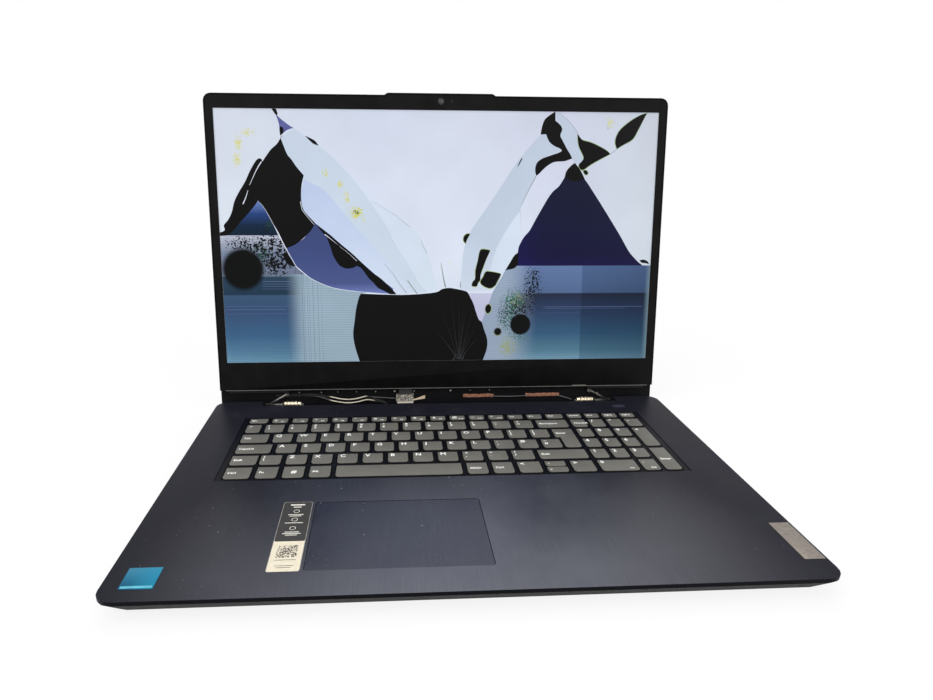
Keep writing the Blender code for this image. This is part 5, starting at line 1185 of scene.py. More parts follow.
@dataclass
class Keyboard:
    """The caps, their legends and the plate below."""

    frame: Frame
    deck: float
    left: float = -163.5
    right: float = 101.5
    first: float = 123.8
    width: float = 15.2
    depth: float = 14.9
    space: float = 3.43
    function_width: float = 13.1
    function_depth: float = 8.8
    front_depth: float = 16.6
    pad_left: float = 105.0
    pad_width: float = 12.4
    pad_space: float = 3.1
    narrow: float = 1.8
    proud: float = 0.3
    height: float = 1.9
    draft: float = 0.2
    letter: float = 4.2

    def rows(self) -> list[float]:
        """Gives the front edges of the six rows, from the space bar's up."""
        fronts = [self.first, self.first + self.front_depth + self.space]
        while len(fronts) < 6:
            fronts.append(fronts[-1] + self.depth + self.space)
        return fronts

    def run(self, row: int, depth: float, keys: list[tuple]) -> list[Key]:
        """Sets keys side by side in a row.

        Args:
            row: The row, counted from the front.
            depth: The keys' depth.
            keys: Each key's width (None: up to the right edge), legends and node.

        Returns:
            The keys.
        """
        front, left, made = self.rows()[row], self.left, []
        for width, *words in keys:
            right = self.right if width is None else left + width
            made.append(Key(left, right, front, front + depth, *words))
            left = right + self.space
        return made

    def letters(self) -> list[Key]:
        """Gives the main block's keys, apart from the stepped enter key."""
        wide = self.width
        keys = self.run(5, self.function_depth, [(15.2, "Esc", "", "key_escape")]
                        + [(self.function_width, f"F{i}", c) for i, c in enumerate("x-+o*#=%&@~^", 1)]
                        + [(self.function_width, "Ins"), (self.function_width, "Prt"), (None, "Del")])
        shifted = dict(zip("1234567890-=", "!\"£$%^&*()_+"))
        keys += self.run(4, self.depth, [(11.9, "`", "¬")] + [(wide, c, s) for c, s in shifted.items()]
                         + [(None, "Backspace", "", "key_backspace")])
        keys += self.run(3, self.depth, [(21.2, "Tab", "", "key_tab")] + [(wide, c) for c in "QWERTYUIOP"]
                         + [(wide, "[", "{"), (wide, "]", "}")])
        keys += self.run(2, self.depth,
                         [(26.6, "CapsLK", "", "key_caps_lock")] + [(wide, c) for c in "ASDFGHJKL"]
                         + [(wide, ";", ":"), (wide, "'", "@"), (wide, "#", "~")])
        shift = self.run(1, self.depth,
                         [(17.8, "Shift", "", "key_shift_left"), (15.6, "\\", "|")]
                         + [(wide, c) for c in "ZXCVBNM"]
                         + [(wide, ",", "<"), (wide, ".", ">"), (16.6, "/", "?"),
                            (None, "Shift", "", "key_shift_right")])
        first = shift[0]
        shift[0] = Key(first.left, shift[1].left - self.narrow, first.front, first.back, first.legend, "",
                       first.node)
        keys += shift
        arrow = 17.0
        keys += self.run(0, self.front_depth, [(18.5, "Ctrl"), (wide, "Fn"), (wide, "#"), (wide, "Alt"),
                                               (90.3, "", "", "key_space"), (wide, "AltGr"), (wide, "Ctrl"),
                                               (arrow, "<", "", "key_arrow_left")])
        front, back = self.rows()[0], self.rows()[0] + self.front_depth
        keys.append(Key(self.right - arrow, self.right, front, back, ">", "", "key_arrow_right"))
        left, right = keys[-2].right + self.space, keys[-1].left - self.space
        middle, gap = (front + back) / 2, 0.3
        keys.append(Key(left, right, middle + gap, back, "^", "", "key_arrow_up"))
        keys.append(Key(left, right, front, middle - gap, "v", "", "key_arrow_down"))
        return keys

    def pad(self) -> list[Key]:
        """Gives the number pad's keys."""
        rows, wide = self.rows(), self.pad_width
        lefts = [self.pad_left + i * (wide + self.pad_space) for i in range(4)]
        keys = []
        for row, depth, words in ((5, self.function_depth, ("Home", "End", "PgUp", "PgDn")),
                                  (4, self.depth, ("NumLK", "/", "*", "-")), (3, self.depth, "789"),
                                  (2, self.depth, "456"), (1, self.depth, "123")):
            keys += [Key(x, x + wide, rows[row], rows[row] + depth, word) for x, word in zip(lefts, words)]
        front, back = rows[0], rows[0] + self.front_depth
        keys.append(Key(lefts[0], lefts[1] + wide, front, back, "0", "Ins"))
        keys.append(Key(lefts[2], lefts[2] + wide, front, back, ".", "Del"))
        keys.append(Key(lefts[3], lefts[3] + wide, rows[2], rows[3] + self.depth, "+", "",
                        "key_number_plus"))
        keys.append(Key(lefts[3], lefts[3] + wide, rows[0], rows[1] + self.depth, "Enter", "",
                        "key_number_enter"))
        return keys

    def enter_outline(self, keys: list[Key]) -> list[Point]:
        """Gives the stepped enter key's outline.

        Args:
            keys: The other keys of the main block.

        Returns:
            The outline, from its front left corner.
        """
        rows = self.rows()
        upper = max(k.right for k in keys if k.front == rows[3]) + self.space
        lower = max(k.right for k in keys if k.front == rows[2]) + self.narrow
        front, step, back = rows[2], rows[3], rows[3] + self.depth
        return [(lower, front), (self.right, front), (self.right, back), (upper, back), (upper, step),
                (lower, step)]

    def cap(self, outline: list[Point], radii: list[float]) -> Form:
        """Makes a cap from an outline: drafted sides, rounded corners and a softened top edge.

        Args:
            outline: The cap's foot.
            radii: The radius of each corner of the outline.

        Returns:
            The cap.
        """
        top, low = self.deck + self.proud, self.deck + self.proud - self.height
        bm = prisms([outline], low, top)
        middle_x = sum(p[0] for p in outline) / len(outline)
        middle_y = sum(p[1] for p in outline) / len(outline)
        for i, point in enumerate(outline):
            edges = [e for e in bm.edges
                     if all(abs(v.co.x - point[0]) < 0.001 and abs(v.co.y - point[1]) < 0.001
                            for v in e.verts)]
            bmesh.ops.bevel(bm, geom=edges, offset=radii[i], segments=4, profile=0.5, affect="EDGES",
                            material=-1)
        for vert in bm.verts:
            if vert.co.z > top - 0.001:
                vert.co.x -= math.copysign(self.draft, vert.co.x - middle_x)
                vert.co.y -= math.copysign(self.draft, vert.co.y - middle_y)
        rim = [e for e in bm.edges if all(v.co.z > top - 0.001 for v in e.verts)]
        bmesh.ops.bevel(bm, geom=rim, offset=0.28, segments=3, profile=0.5, affect="EDGES", material=-1)
        return bm

    def cap_of(self, key: Key) -> Form:
        """Makes a plain key's cap."""
        outline = [(key.left, key.front), (key.right, key.front), (key.right, key.back),
                   (key.left, key.back)]
        front = min(2.6, (key.back - key.front) / 3)
        return self.cap(outline, [front, front, 0.7, 0.7])

    def words(self, key: Key) -> list[tuple[str, float, float, float]]:
        """Places a key's legends.

        Args:
            key: The key.

        Returns:
            Each legend's text, x, y and letter height.
        """
        shallow = key.back - key.front < 10
        small = len(key.legend) > 1
        size = 2.7 if small else self.letter
        left, high = key.left + 2.0, key.back - 1.1
        found = [(key.legend, left, high - size, size)]
        if key.legend == "#":
            found = [("#", (key.left + key.right) / 2 - 1.6, (key.back + key.front) / 2 - 1.8, 4.6)]
        if small and not shallow:
            found = [(key.legend, left, key.front + (key.back - key.front) * 0.44, size)]
        if shallow:
            found = [(key.legend, left, key.back - 4.9, 2.3)]
            if key.second:
                return [(key.legend, key.right - 5.6, key.front + 1.7, 2.0),
                        (key.second, left, key.back - 4.9, 3.2)]
        if key.second:
            found = [(key.second, left, high - 3.0, 3.0), (key.legend, left, high - 7.6, 3.3)]
            if len(key.second) > 1:
                found = [(key.legend, left, high - 3.8, 3.8),
                         (key.second, key.right - 6.8, key.front + 3.0, 1.9)]
        return [word for word in found if word[0]]

    def legend(self, words: list[tuple[str, float, float, float]]) -> Form:
        """Makes the raised print of legends, just above the caps.

        Args:
            words: Each legend's text, x, y and letter height.

        Returns:
            The print.
        """
        bm = bmesh.new()
        top = self.deck + self.proud
        for text, x, y, size in words:
            curve = bpy.data.curves.new("legend", "FONT")
            curve.body = text
            curve.size = size * 1.36
            curve.resolution_u = 2
            curve.extrude = 0.008
            curve.offset = 0.03 * size
            letters = bpy.data.objects.new("legend", curve)
            bpy.context.scene.collection.objects.link(letters)
            bpy.context.view_layer.update()
            mesh = bpy.data.meshes.new_from_object(
                letters.evaluated_get(bpy.context.evaluated_depsgraph_get()))
            mesh.transform(Matrix.Translation((x, y, top + 0.012)))
            bm.from_mesh(mesh)
            bpy.data.meshes.remove(mesh)
            bpy.data.objects.remove(letters, do_unlink=True)
        return bm

    def build(self, cap_finish: Finish, print_finish: Finish,
              plate_finish: Finish) -> None:
        """Makes every cap and legend.

        Args:
            cap_finish: The caps' material.
            print_finish: The legends' material.
            plate_finish: The plate's material.
        """
        letters = self.letters()
        keys = letters + self.pad()
        fixed = bmesh.new()
        for key in keys:
            if not key.node:
                add_to(fixed, self.cap_of(key))
        caps = self.frame.piece("key_caps", fixed, cap_finish, "keyboard")
        low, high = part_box("keyboard_plate")
        plate = box_of((low.x / MM, low.y / MM, low.z / MM), (high.x / MM, high.y / MM, low.z / MM + 0.8),
                       0.15)
        world = Frame(Matrix.Identity(4), self.frame.body)
        world.piece("keyboard_tray", plate, plate_finish, "keyboard")
        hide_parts("keyboard_plate")
        self.frame.piece("key_legends", self.legend([w for k in keys if not k.node for w in self.words(k)]),
                         print_finish, "keyboard", smooth=False)
        for key in keys:
            if key.node:
                cap = self.frame.piece(key.node + "_cap", self.cap_of(key), cap_finish, "keyboard",
                                       key.node)
                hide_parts(key.node)
                if key.legend:
                    self.frame.piece(key.node + "_legend", self.legend(self.words(key)), print_finish,
                                     "keyboard", key.node, smooth=False)
        outline = self.enter_outline(letters)
        cap = self.frame.piece("key_enter_cap", self.cap(outline, [2.6, 2.6, 0.7, 0.7, 0.7, 0.7]),
                               cap_finish, "keyboard", "key_enter")
        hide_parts("key_enter")
        self.frame.piece("key_enter_legend",
                         self.legend([("Enter", outline[3][0] + 2.0, outline[3][1] - 9.0, 2.7)]),
                         print_finish, "keyboard", "key_enter", smooth=False)


# The deck's stickers and dust


@dataclass
class DeckTrim:
    """The sticker beside the touchpad, the square badge, the metal plate and the dust."""

    frame: Frame
    deck: float
    sticker_low: Point = (-115.3, 20.5)
    sticker_high: Point = (-97.5, 91.5)
    sticker_split: float = 48.5
    badge_low: Point = (-189.5, 9.5)
    badge_size: float = 18.0
    plate_low: Point = (186.0, 17.5)
    plate_high: Point = (198.3, 54.0)
    film: float = 0.09

    def build(self) -> None:
        """Makes all of them."""
        self.make_sticker()
        self.make_badge()
        self.make_plate()
        self.make_dust()

    def make_sticker(self) -> None:
        """Makes the long sticker: a black part with plain marks and a cream part with dots."""
        low, high, film, deck = self.sticker_low, self.sticker_high, self.film, self.deck
        black = rounded_plate((low[0], self.sticker_split), high, deck - 0.02, deck + film, 1.2)
        self.frame.piece("sticker_black", black,
                         Printed("sticker_black_film", srgb(40, 38, 36), 0.4).make(), "deck")
        rim = rounded_plate((low[0] - 0.35, low[1]), (high[0] + 0.35, high[1] + 0.35), deck - 0.02,
                            deck + film - 0.05, 1.3)
        self.frame.piece("sticker_border", rim,
                         Printed("sticker_border_film", srgb(150, 146, 138), 0.45).make(), "deck")
        cream = rounded_plate(low, (high[0], self.sticker_split + 1.5), deck - 0.02, deck + film - 0.02,
                              1.2)
        self.frame.piece("sticker_cream", cream,
                         Printed("sticker_cream_film", srgb(222, 212, 190), 0.45, 0.05).make(), "deck")
        marks = bmesh.new()
        middle = (low[0] + high[0]) / 2
        for y, width, height in ((87.6, 9.0, 1.4), (85.2, 5.0, 0.9), (76.6, 9.6, 0.7), (75.0, 7.4, 0.7),
                                 (67.4, 11.0, 0.7), (57.6, 8.4, 0.7), (56.0, 11.0, 0.7), (54.4, 7.0, 0.7)):
            add_to(marks,
                   box_of((middle - width / 2, y, deck + film - 0.01),
                          (middle + width / 2, y + height, deck + film + 0.01)))
        for y in (80.8, 71.4, 62.0):
            ring = bmesh.new()
            bmesh.ops.create_circle(ring, cap_ends=True, segments=20, radius=1.9)
            bmesh.ops.inset_individual(ring, faces=ring.faces[:], thickness=0.35)
            inner = [f for f in ring.faces if len(f.verts) > 4]
            bmesh.ops.delete(ring, geom=inner, context="FACES")
            bmesh.ops.solidify(ring, geom=ring.faces[:], thickness=0.01)
            bmesh.ops.translate(ring, vec=(middle, y, deck + film + 0.006), verts=ring.verts)
            add_to(marks, ring)
        self.frame.piece("sticker_marks", marks,
                         Printed("sticker_pale_print", srgb(222, 218, 206), 0.5, 0.05).make(), "deck",
                         smooth=False)
        dots = bmesh.new()
        cell, count, chance = 0.55, 21, random.Random(3)
        left, base = middle - cell * count / 2, 33.0
        for i in range(count):
            for k in range(count):
                if chance.random() < 0.5:
                    x, y = left + i * cell, base + k * cell
                    add_to(dots,
                           box_of((x, y, deck + film - 0.03), (x + cell, y + cell, deck + film - 0.01)))
        for y, width in ((30.6, 12.0), (25.4, 10.5), (23.8, 8.0)):
            add_to(dots, box_of((middle - width / 2, y, deck + film - 0.03), (middle + width / 2, y + 0.45,
                                                                            deck + film - 0.01)))
        self.frame.piece("sticker_dots", dots, Printed("sticker_grey_print", srgb(70, 64, 58), 0.5).make(),
                         "deck", smooth=False)

    def make_badge(self) -> None:
        """Makes the square badge: a bare teal film with a paler band."""
        x, y = self.badge_low
        size, deck = self.badge_size, self.deck
        shader = Shader("badge_teal", srgb(22, 128, 164), 0.3)
        place = shader.node("SeparateXYZ", {0: shader.place(matrix=self.frame.matrix)})
        across = shader.ease(place.outputs[0], x, x + size)
        along = shader.ease(place.outputs[1], y, y + size)
        colour = shader.mix(across, srgb(6, 66, 98), srgb(18, 118, 152))
        colour = shader.mix(shader.math("MULTIPLY", along, 0.6), colour, srgb(24, 132, 164))
        flake = shader.noise(shader.place(), 1.6, 2.0)
        shader.feed("Base Color",
                    shader.mix(shader.math("MULTIPLY", flake, 0.12), colour, srgb(60, 160, 186)))
        shader.put("Specular IOR Level", 0.12)
        self.frame.piece("square_badge",
                         rounded_plate((x, y), (x + size, y + size), deck - 0.02, deck + 0.16, 0.5, 0.05),
                         shader.material, "deck")
        band = rounded_plate((x + 0.8, y + 0.8), (x + size - 0.8, y + 2.6), deck + 0.15, deck + 0.175, 0.2)
        self.frame.piece("badge_band", band, Printed("badge_pale_band", srgb(84, 176, 196), 0.35).make(),
                         "deck")

    def make_plate(self) -> None:
        """Makes the small bare metal plate at the right edge."""
        plate = rounded_plate(self.plate_low, self.plate_high, self.deck - 0.05, self.deck + 0.12, 0.4,
                              0.06)
        finish = BareMetal("champagne_plate", srgb(142, 134, 126), 0.42, (4.0, 0.3, 4.0), 0.12).make()
        self.frame.piece("metal_plate", plate, finish, "nickel")

    def make_dust(self) -> None:
        """Scatters crumbs where the photo shows them, and fine dust round them."""
        chance = random.Random(11)
        seen = [(-95, 112), (-80, 108), (-6, 120), (-4, 108), (2, 109), (14, 102), (-160, 87), (-65, 80),
                (-28, 61), (-63, 53), (-112, 118), (30, 110), (60, 104), (-92, 90), (-64, 88), (118, 66),
                (-150, 60)]
        spots = [(x, y, chance.uniform(0.3, 0.55)) for x, y in seen]
        spots += [(chance.uniform(-185, 185), chance.uniform(6, 118), chance.uniform(0.12, 0.26))
                  for _ in range(90)]
        spots += [(chance.uniform(-150, 150), chance.uniform(231, 252), chance.uniform(0.12, 0.3))
                  for _ in range(40)]
        bm = bmesh.new()
        for x, y, size in spots:
            crumb = bmesh.new()
            bmesh.ops.create_icosphere(crumb, subdivisions=1, radius=size)
            for vert in crumb.verts:
                vert.co *= chance.uniform(0.6, 1.2)
                vert.co.z *= 0.45
            bmesh.ops.translate(crumb, vec=(x, y, self.deck + size * 0.2), verts=crumb.verts)
            add_to(bm, crumb)
        self.frame.piece("dust_crumbs", bm, Printed("dust_grey", srgb(146, 142, 132), 0.9).make(), "deck")


# The open strip along the hinges


@dataclass
class HingeStrip:
    """What the lost cap used to hide: shafts, washers, wires, foil, tape and the bezel's edge."""

    frame: Frame
    base: Frame
    washer_radius: float = 3.3
    wire_radius: float = 0.5
    recess: float = 255.0

    def build(self) -> None:
        """Makes everything in the strip."""
        nickel = BareMetal("warm_nickel", srgb(240, 226, 198), 0.22, (4.0, 1.0, 1.0), 0.25).make()
        for side in Side:
            self.make_washers(side, nickel)
        self.make_wires()
        self.make_skirt_ends()
        self.make_ribbon()
        self.make_foil()
        self.make_small_parts()

    def make_washers(self, side: Side, finish: Finish) -> None:
        """Turns a detailed stack of washers and a nut for one hinge.

        Args:
            side: The hinge's side.
            finish: The washers' finish.
        """
        name = "hinge_washers_" + side.name.lower()
        profile = [(141.4, 1.4)]
        x = 141.4
        for i, width in enumerate((1.5, 0.9, 1.7, 0.8, 1.6, 1.0, 1.8)):
            crown = self.washer_radius * (0.86, 1.0, 0.9, 1.0, 0.94)[i % 5]
            profile += [(x, crown - 0.2), (x - 0.15, crown), (x - width + 0.15, crown),
                        (x - width, crown - 0.2), (x - width, 1.75), (x - width - 0.35, 1.75)]
            x -= width + 0.35
        profile += [(x, 2.5), (x - 0.3, 2.7), (127.6, 2.7), (126.7, 2.3), (126.25, 1.4)]
        bm = bmesh.new()
        verts = [bm.verts.new((side.value * px, 0, radius)) for px, radius in profile]
        edges = [bm.edges.new(pair) for pair in zip(verts, verts[1:] + verts[:1])]
        bmesh.ops.spin(bm, geom=verts + edges, cent=(0, 0, 0), axis=(1, 0, 0), angle=2 * math.pi, steps=36,
                       use_merge=True)
        bmesh.ops.remove_doubles(bm, verts=bm.verts, dist=0.001)
        bmesh.ops.recalc_face_normals(bm, faces=bm.faces)
        piece = self.frame.piece(name + "_turned", bm, finish, "nickel")
        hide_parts(name)

    def bend(self, piece: bpy.types.Object) -> None:
        """Unparents a piece and bakes its place into its mesh, so it rides on neither body."""
        world = piece.matrix_world.copy()
        piece.parent = None
        piece.matrix_world = world
        self.base.point(0, self.recess + 2, 8.6)
        self.frame.point(0, 6.0, -6.0)
        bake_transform(piece)

    def make_skirt_ends(self) -> None:
        """Closes the narrow gap between the lid's skirt and each end of the recess."""
        dark = Moulded("skirt_end_plastic", srgb(16, 16, 17), 0.6, 2.0, 0.01, shine=0.1).make()
        ends = bmesh.new()
        for side in Side:
            low, high = sorted((side.value * 157.0, side.value * 164.0))
            add_to(ends, box_of((low, -3.1, -9.3), (high, 1.0, -6.2)))
        self.frame.piece("skirt_ends", ends, dark, "bezel")

    def make_wires(self) -> None:
        """Makes the two cream wires that sag across the gap, and their dark sleeve."""
        # each row's last x is where the jacket fades to painted shade
        for name, low, sag, exit_x, shade_x in (("upper", 7.9, 2.6, -43.8, -68.0),
                                             ("lower", 6.5, -0.6, -45.6, -61.0)):
            cream = WireSkin("wire_skin_" + name, (-125.0, -101.0, shade_x - 2, shade_x + 2)).make(self.frame)
            knots = [self.frame.point(*k)
                     for k in ((-150, low, -7.45), (-132, low, -7.45), (-122, low, -7.2),
                               (-112, low - 0.6, -6.6), (-101, sag + 3.0, -5.6), (-93, sag + 1.2, -5.3),
                               (-85, sag + 0.3, -5.2), (-77, sag + 0.9, -5.3), (-67, sag + 2.9, -5.5))]
            knots += [self.base.point(*k)
                      for k in ((-58, 264.5, 13.9 + (sag - 1.0) * 0.5),
                                (-52, 263.2, 13.0 + (sag - 1.0) * 0.3), (exit_x - 2.5, 260.5, 9.2),
                                (exit_x, 257.5, 8.5), (exit_x, 252, 8.1), (exit_x, 242, 7.2))]
            bm = tube_along(smooth_path(knots, 5), self.wire_radius * MM, name, 3)
            bm.transform(Matrix.Scale(1 / MM, 4))
            wire = Frame(Matrix.Identity(4), Body.LID.value).piece(f"antenna_wire_{name}", bm, cream,
                                                                   "wire")
            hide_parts(f"antenna_cable_{name}")
            self.bend(wire)
        dark = Moulded("dark_sleeve", srgb(22, 22, 23), 0.6, 2.0, 0.02, shine=0.2).make()
        path = smooth_path([(-127, 7.2, -7.2), (-119, 7.5, -6.9), (-110, 7.0, -6.4), (-101.5, 4.9, -5.5)],
                           6)
        self.frame.piece("wire_sleeve", tube_along(path, 1.15, "sleeve"), dark, "bezel")
        grey = Moulded("grey_lead", srgb(92, 92, 92), 0.5, 2.0, 0.01).make()
        leads = [[(46, 3.6, -7.7), (52, 3.4, -7.5), (65, 3.1, -7.3), (78, 3.4, -7.5), (84, 3.8, -7.8)],
                 [(108, 3.4, -7.8), (113, 2.8, -7.4), (120, 0.8, -7.2), (124, -0.6, -7.6)],
                 [(-64, 4.6, -7.7), (-60, 4.2, -7.5), (-52, 3.6, -7.4), (-45, 3.0, -7.6), (-41, 3.0, -7.8)]]
        bm = bmesh.new()
        for lead in leads:
            add_to(bm, tube_along(smooth_path(lead, 5), 0.42, "lead"))
        self.frame.piece("camera_lead", bm, grey, "wire")

    def strip(self, rows: list[tuple[Vector, Vector]], thickness: float, cuts: int = 1) -> Form:
        """Makes a thin strip.

        Args:
            rows: The pairs of edge points along it.
            thickness: Its thickness.
            cuts: The faces from one edge to the other.

        Returns:
            The strip.
        """
        bm = bmesh.new()
        previous = None
        for first, second in rows:
            line = [bm.verts.new(first.lerp(second, i / cuts)) for i in range(cuts + 1)]
            if previous:
                for i in range(cuts):
                    bm.faces.new((previous[i], previous[i + 1], line[i + 1], line[i]))
            previous = line
        bmesh.ops.recalc_face_normals(bm, faces=bm.faces)
        bmesh.ops.solidify(bm, geom=bm.faces[:], thickness=thickness)
        bmesh.ops.recalc_face_normals(bm, faces=bm.faces)
        return bm

    def make_ribbon(self) -> None:
        """Makes the flat cable across the gap, the clear tape on it and its loose flared end."""
        low = 27.5
        knots = [self.frame.point(0, up, -depth) for up,
                 depth in ((low, 6.4), (14, 6.6), (7, 5.6), (1, 3.0), (-2, 0.4))]
        knots += [self.base.point(0, y, z) for y, z in ((259, 8.3), (251, 8.3), (240, 6.4), (226.4, 5.5))]
        path = smooth_path(knots, 5)
        rows = [(p / MM + Vector((-38, 0, 0)), p / MM + Vector((-26, 0, 0))) for p in path]
        world = Frame(Matrix.Identity(4), Body.LID.value)
        pale = Moulded("ribbon_film", srgb(26, 25, 24), 0.4, 1.5, 0.02, 0.2, 0.3).make()
        cable = world.piece("flat_cable", self.strip(rows, 0.24, 4), pale, "ribbon")
        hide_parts("display_cable")
        self.bend(cable)
        shader = Shader("clear_tape", srgb(214, 208, 192), 0.22)
        specks = shader.noise(shader.place(), 0.9, 4.0, 0.7)
        shader.feed("Alpha",
                    shader.node("MapRange", {0: specks, 1: 0.55, 2: 0.62, 3: 0.1, 4: 0.8}).outputs[0])
        shader.relief(shader.noise(shader.place(), 0.9, 3.0), 0.6, 0.2)
        tape = [(Vector((-40.5, up, out)), Vector((-24.5, up + 0.4, out - 0.3))) for up, out in (
            (7.4, -6.6), (6.2, -4.7), (4.6, -4.0), (2.6, -3.4), (1.0, -2.6), (0.2, -1.7))]
        self.frame.piece("clear_tape", self.strip(tape, 0.06, 8), shader.material, "ribbon")
        fold = [(Vector((-39.6, up, out)), Vector((-25.0, up + 0.2, out))) for up, out in (
            (0.4, -1.9), (-0.5, -1.5), (-1.1, -1.8), (-0.7, -2.3))]
        self.frame.piece("tape_fold", self.strip(fold, 0.12, 6),
                         Printed("tape_white", srgb(206, 198, 182), 0.4).make(), "ribbon")
        flare = [(Vector((-25.5, 1.4, -4.2)), Vector((-25.5, 2.4, -4.6))),
                 (Vector((-22, 1.7, -4.0)), Vector((-22, 3.0, -4.6))),
                 (Vector((-18, 2.2, -4.6)), Vector((-18, 4.4, -5.4))),
                 (Vector((-14, 2.5, -6.0)), Vector((-14, 5.5, -6.8)))]
        self.frame.piece("flared_ribbon", self.strip(flare, 0.15, 4),
                         Moulded("tan_ribbon", srgb(186, 164, 138), 0.4, 2.0, 0.02).make(), "ribbon")

    def make_foil(self) -> None:
        """Makes the two crinkled copper strips."""
        copper = BareMetal("copper_foil", srgb(240, 172, 140), 0.3, (0.6, 0.6, 0.6), 0.4).make()
        chance = random.Random(5)
        for side, left, right in ((Side.LEFT, 21.5, 50.0), (Side.RIGHT, 80.0, 112.0)):
            rows = []
            count = 22
            for i in range(count + 1):
                x = left + (right - left) * i / count
                lift = 0.35 + chance.uniform(0, 0.35)
                skew = chance.uniform(-0.25, 0.25)
                rows.append((Vector((x, 2.8 + skew, -LID_FLOOR + lift)),
                             Vector((x, 5.8 + skew, -LID_FLOOR + lift * 1.4))))
            name = "foil_strip_" + side.name.lower()
            foil = self.frame.piece(name + "_crinkled", self.strip(rows, 0.06, 4), copper, "copper",
                                    smooth=False)
            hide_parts(name)

    def make_small_parts(self) -> None:
        """Makes the bezel's turned-in edge, the two bright clips and the small screws."""
        dark = Moulded("bezel_edge", srgb(112, 109, 105), 0.42, 2.0, 0.01).make()
        edge = bmesh.new()
        add_to(edge, box_of((-194.5, 12.3, -FACE - 0.8), (194.5, 12.85, -FACE + 0.1), 0.15))
        add_to(edge, box_of((123, 12.4, -FACE - 0.8), (136, 13.6, -FACE + 0.25), 0.25))
        self.frame.piece("bezel_lower_lip", edge, dark, "bezel")
        steel = BareMetal("clip_steel", srgb(170, 168, 162), 0.3).make()
        clips = bmesh.new()
        for x, size in ((-42.0, 0.9), (9.7, 1.0), (-24.0, 0.5), (28.0, 0.5), (46.0, 0.6), (-129.0, 0.55),
                        (-109.0, 0.6), (-94.0, 0.45), (-77.0, 0.5), (-59.5, 0.7), (148.0, 0.8)):
            head = bmesh.new()
            bmesh.ops.create_cone(head, cap_ends=True, segments=18, radius1=size, radius2=size * 0.8,
                                  depth=0.5)
            bmesh.ops.translate(head, vec=(x, 9.6 if x < 140 else 5.2, -LID_FLOOR + 1.55), verts=head.verts)
            add_to(clips, head)
        self.frame.piece("strip_screws", clips, steel, "steel")
        lip = box_of((-75.0, 37.35, -PANEL_FACE - 0.3), (190.0, 37.95, -PANEL_FACE + 0.75), 0.12)
        self.frame.piece("panel_metal_lip", lip,
                         Printed("panel_lip_paint", srgb(150, 150, 154), 0.35).make(), "steel")


# Camera, small fasteners and the CAD nodes' finishes


@dataclass
class LidTrim:
    """The camera's lens and light in the top of the bezel."""

    frame: Frame
    lens_x: float = 0.6
    lens_y: float = 261.3
    light_x: float = 10.3

    def build(self) -> None:
        """Makes the lens, its ring and the pilot light."""
        ring = bmesh.new()
        profile = [(2.7, -FACE - 0.3), (2.7, -FACE - 0.02), (2.5, -FACE + 0.02), (2.0, -FACE + 0.02),
                   (1.7, -FACE - 0.09), (1.7, -FACE - 0.3)]
        verts = [ring.verts.new((self.lens_x + r, self.lens_y, z)) for r, z in profile]
        edges = [ring.edges.new(pair) for pair in zip(verts, verts[1:] + verts[:1])]
        bmesh.ops.spin(ring, geom=verts + edges, cent=(self.lens_x, self.lens_y, 0), axis=(0, 0, 1),
                       angle=2 * math.pi, steps=40, use_merge=True)
        bmesh.ops.remove_doubles(ring, verts=ring.verts, dist=0.001)
        bmesh.ops.recalc_face_normals(ring, faces=ring.faces)
        self.frame.piece("camera_ring", ring,
                         Moulded("camera_black", srgb(12, 12, 13), 0.3, 4.0, 0.005).make(), "bezel")
        lens = bmesh.new()
        bmesh.ops.create_uvsphere(lens, u_segments=28, v_segments=14, radius=1.7)
        bmesh.ops.scale(lens, vec=(1, 1, 0.2), verts=lens.verts)
        bmesh.ops.translate(lens, vec=(self.lens_x, self.lens_y, -FACE - 0.28), verts=lens.verts)
        glass = Shader("lens_glass", srgb(10, 10, 16), 0.08)
        glass.feed("Base Color",
                   glass.ramp(glass.noise(glass.place(), 0.8),
                              [(0.3, srgb(6, 6, 12)), (0.7, srgb(22, 18, 34))]))
        glass.put("Coat Weight", 1.0)
        self.frame.piece("camera_lens", lens, glass.material, "bezel")
        light = bmesh.new()
        bmesh.ops.create_cone(light, cap_ends=True, segments=20, radius1=0.55, radius2=0.5, depth=0.08)
        bmesh.ops.translate(light, vec=(self.light_x, self.lens_y, -FACE + 0.01), verts=light.verts)
        self.frame.piece("camera_light", light, Printed("pilot_grey", srgb(60, 60, 62), 0.3).make(),
                         "bezel")


@dataclass
class Underside:
    """The bottom screws' heads with flat near-black crosses, painted shade in place of cross recesses."""

    frame: Frame
    places: tuple[Point, ...] = ((-186, 16), (186, 16), (-186, 126), (186, 126), (-62, 16), (62, 16),
                                 (-135, 247.5), (-75, 247.5), (135, 247.5))
    head: float = 2.5
    face: float = 1.66

    def build(self) -> None:
        """Makes the heads and the dark crosses on them, painted shade in place of cut recesses."""
        heads, crosses = bmesh.new(), bmesh.new()
        for x, y in self.places:
            disc = bmesh.new()
            bmesh.ops.create_cone(disc, cap_ends=True, segments=28, radius1=self.head - 0.15,
                                  radius2=self.head, depth=0.12)
            bmesh.ops.translate(disc, vec=(x, y, self.face - 0.02), verts=disc.verts)
            add_to(heads, disc)
            # each cross is a thin near-black box, painted shade standing in for the recess
            for wide, high in ((1.5, 0.25), (0.25, 1.5)):
                add_to(crosses,
                       box_of((x - wide, y - high, self.face - 0.1),
                              (x + wide, y + high, self.face - 0.06)))
        self.frame.piece("bottom_screw_heads", heads,
                         BareMetal("screw_black_zinc", srgb(58, 58, 60), 0.35).make(), "steel")
        self.frame.piece("bottom_screw_crosses", crosses,
                         Printed("recess_dark", srgb(8, 8, 8), 0.6).make(), "steel", smooth=False)


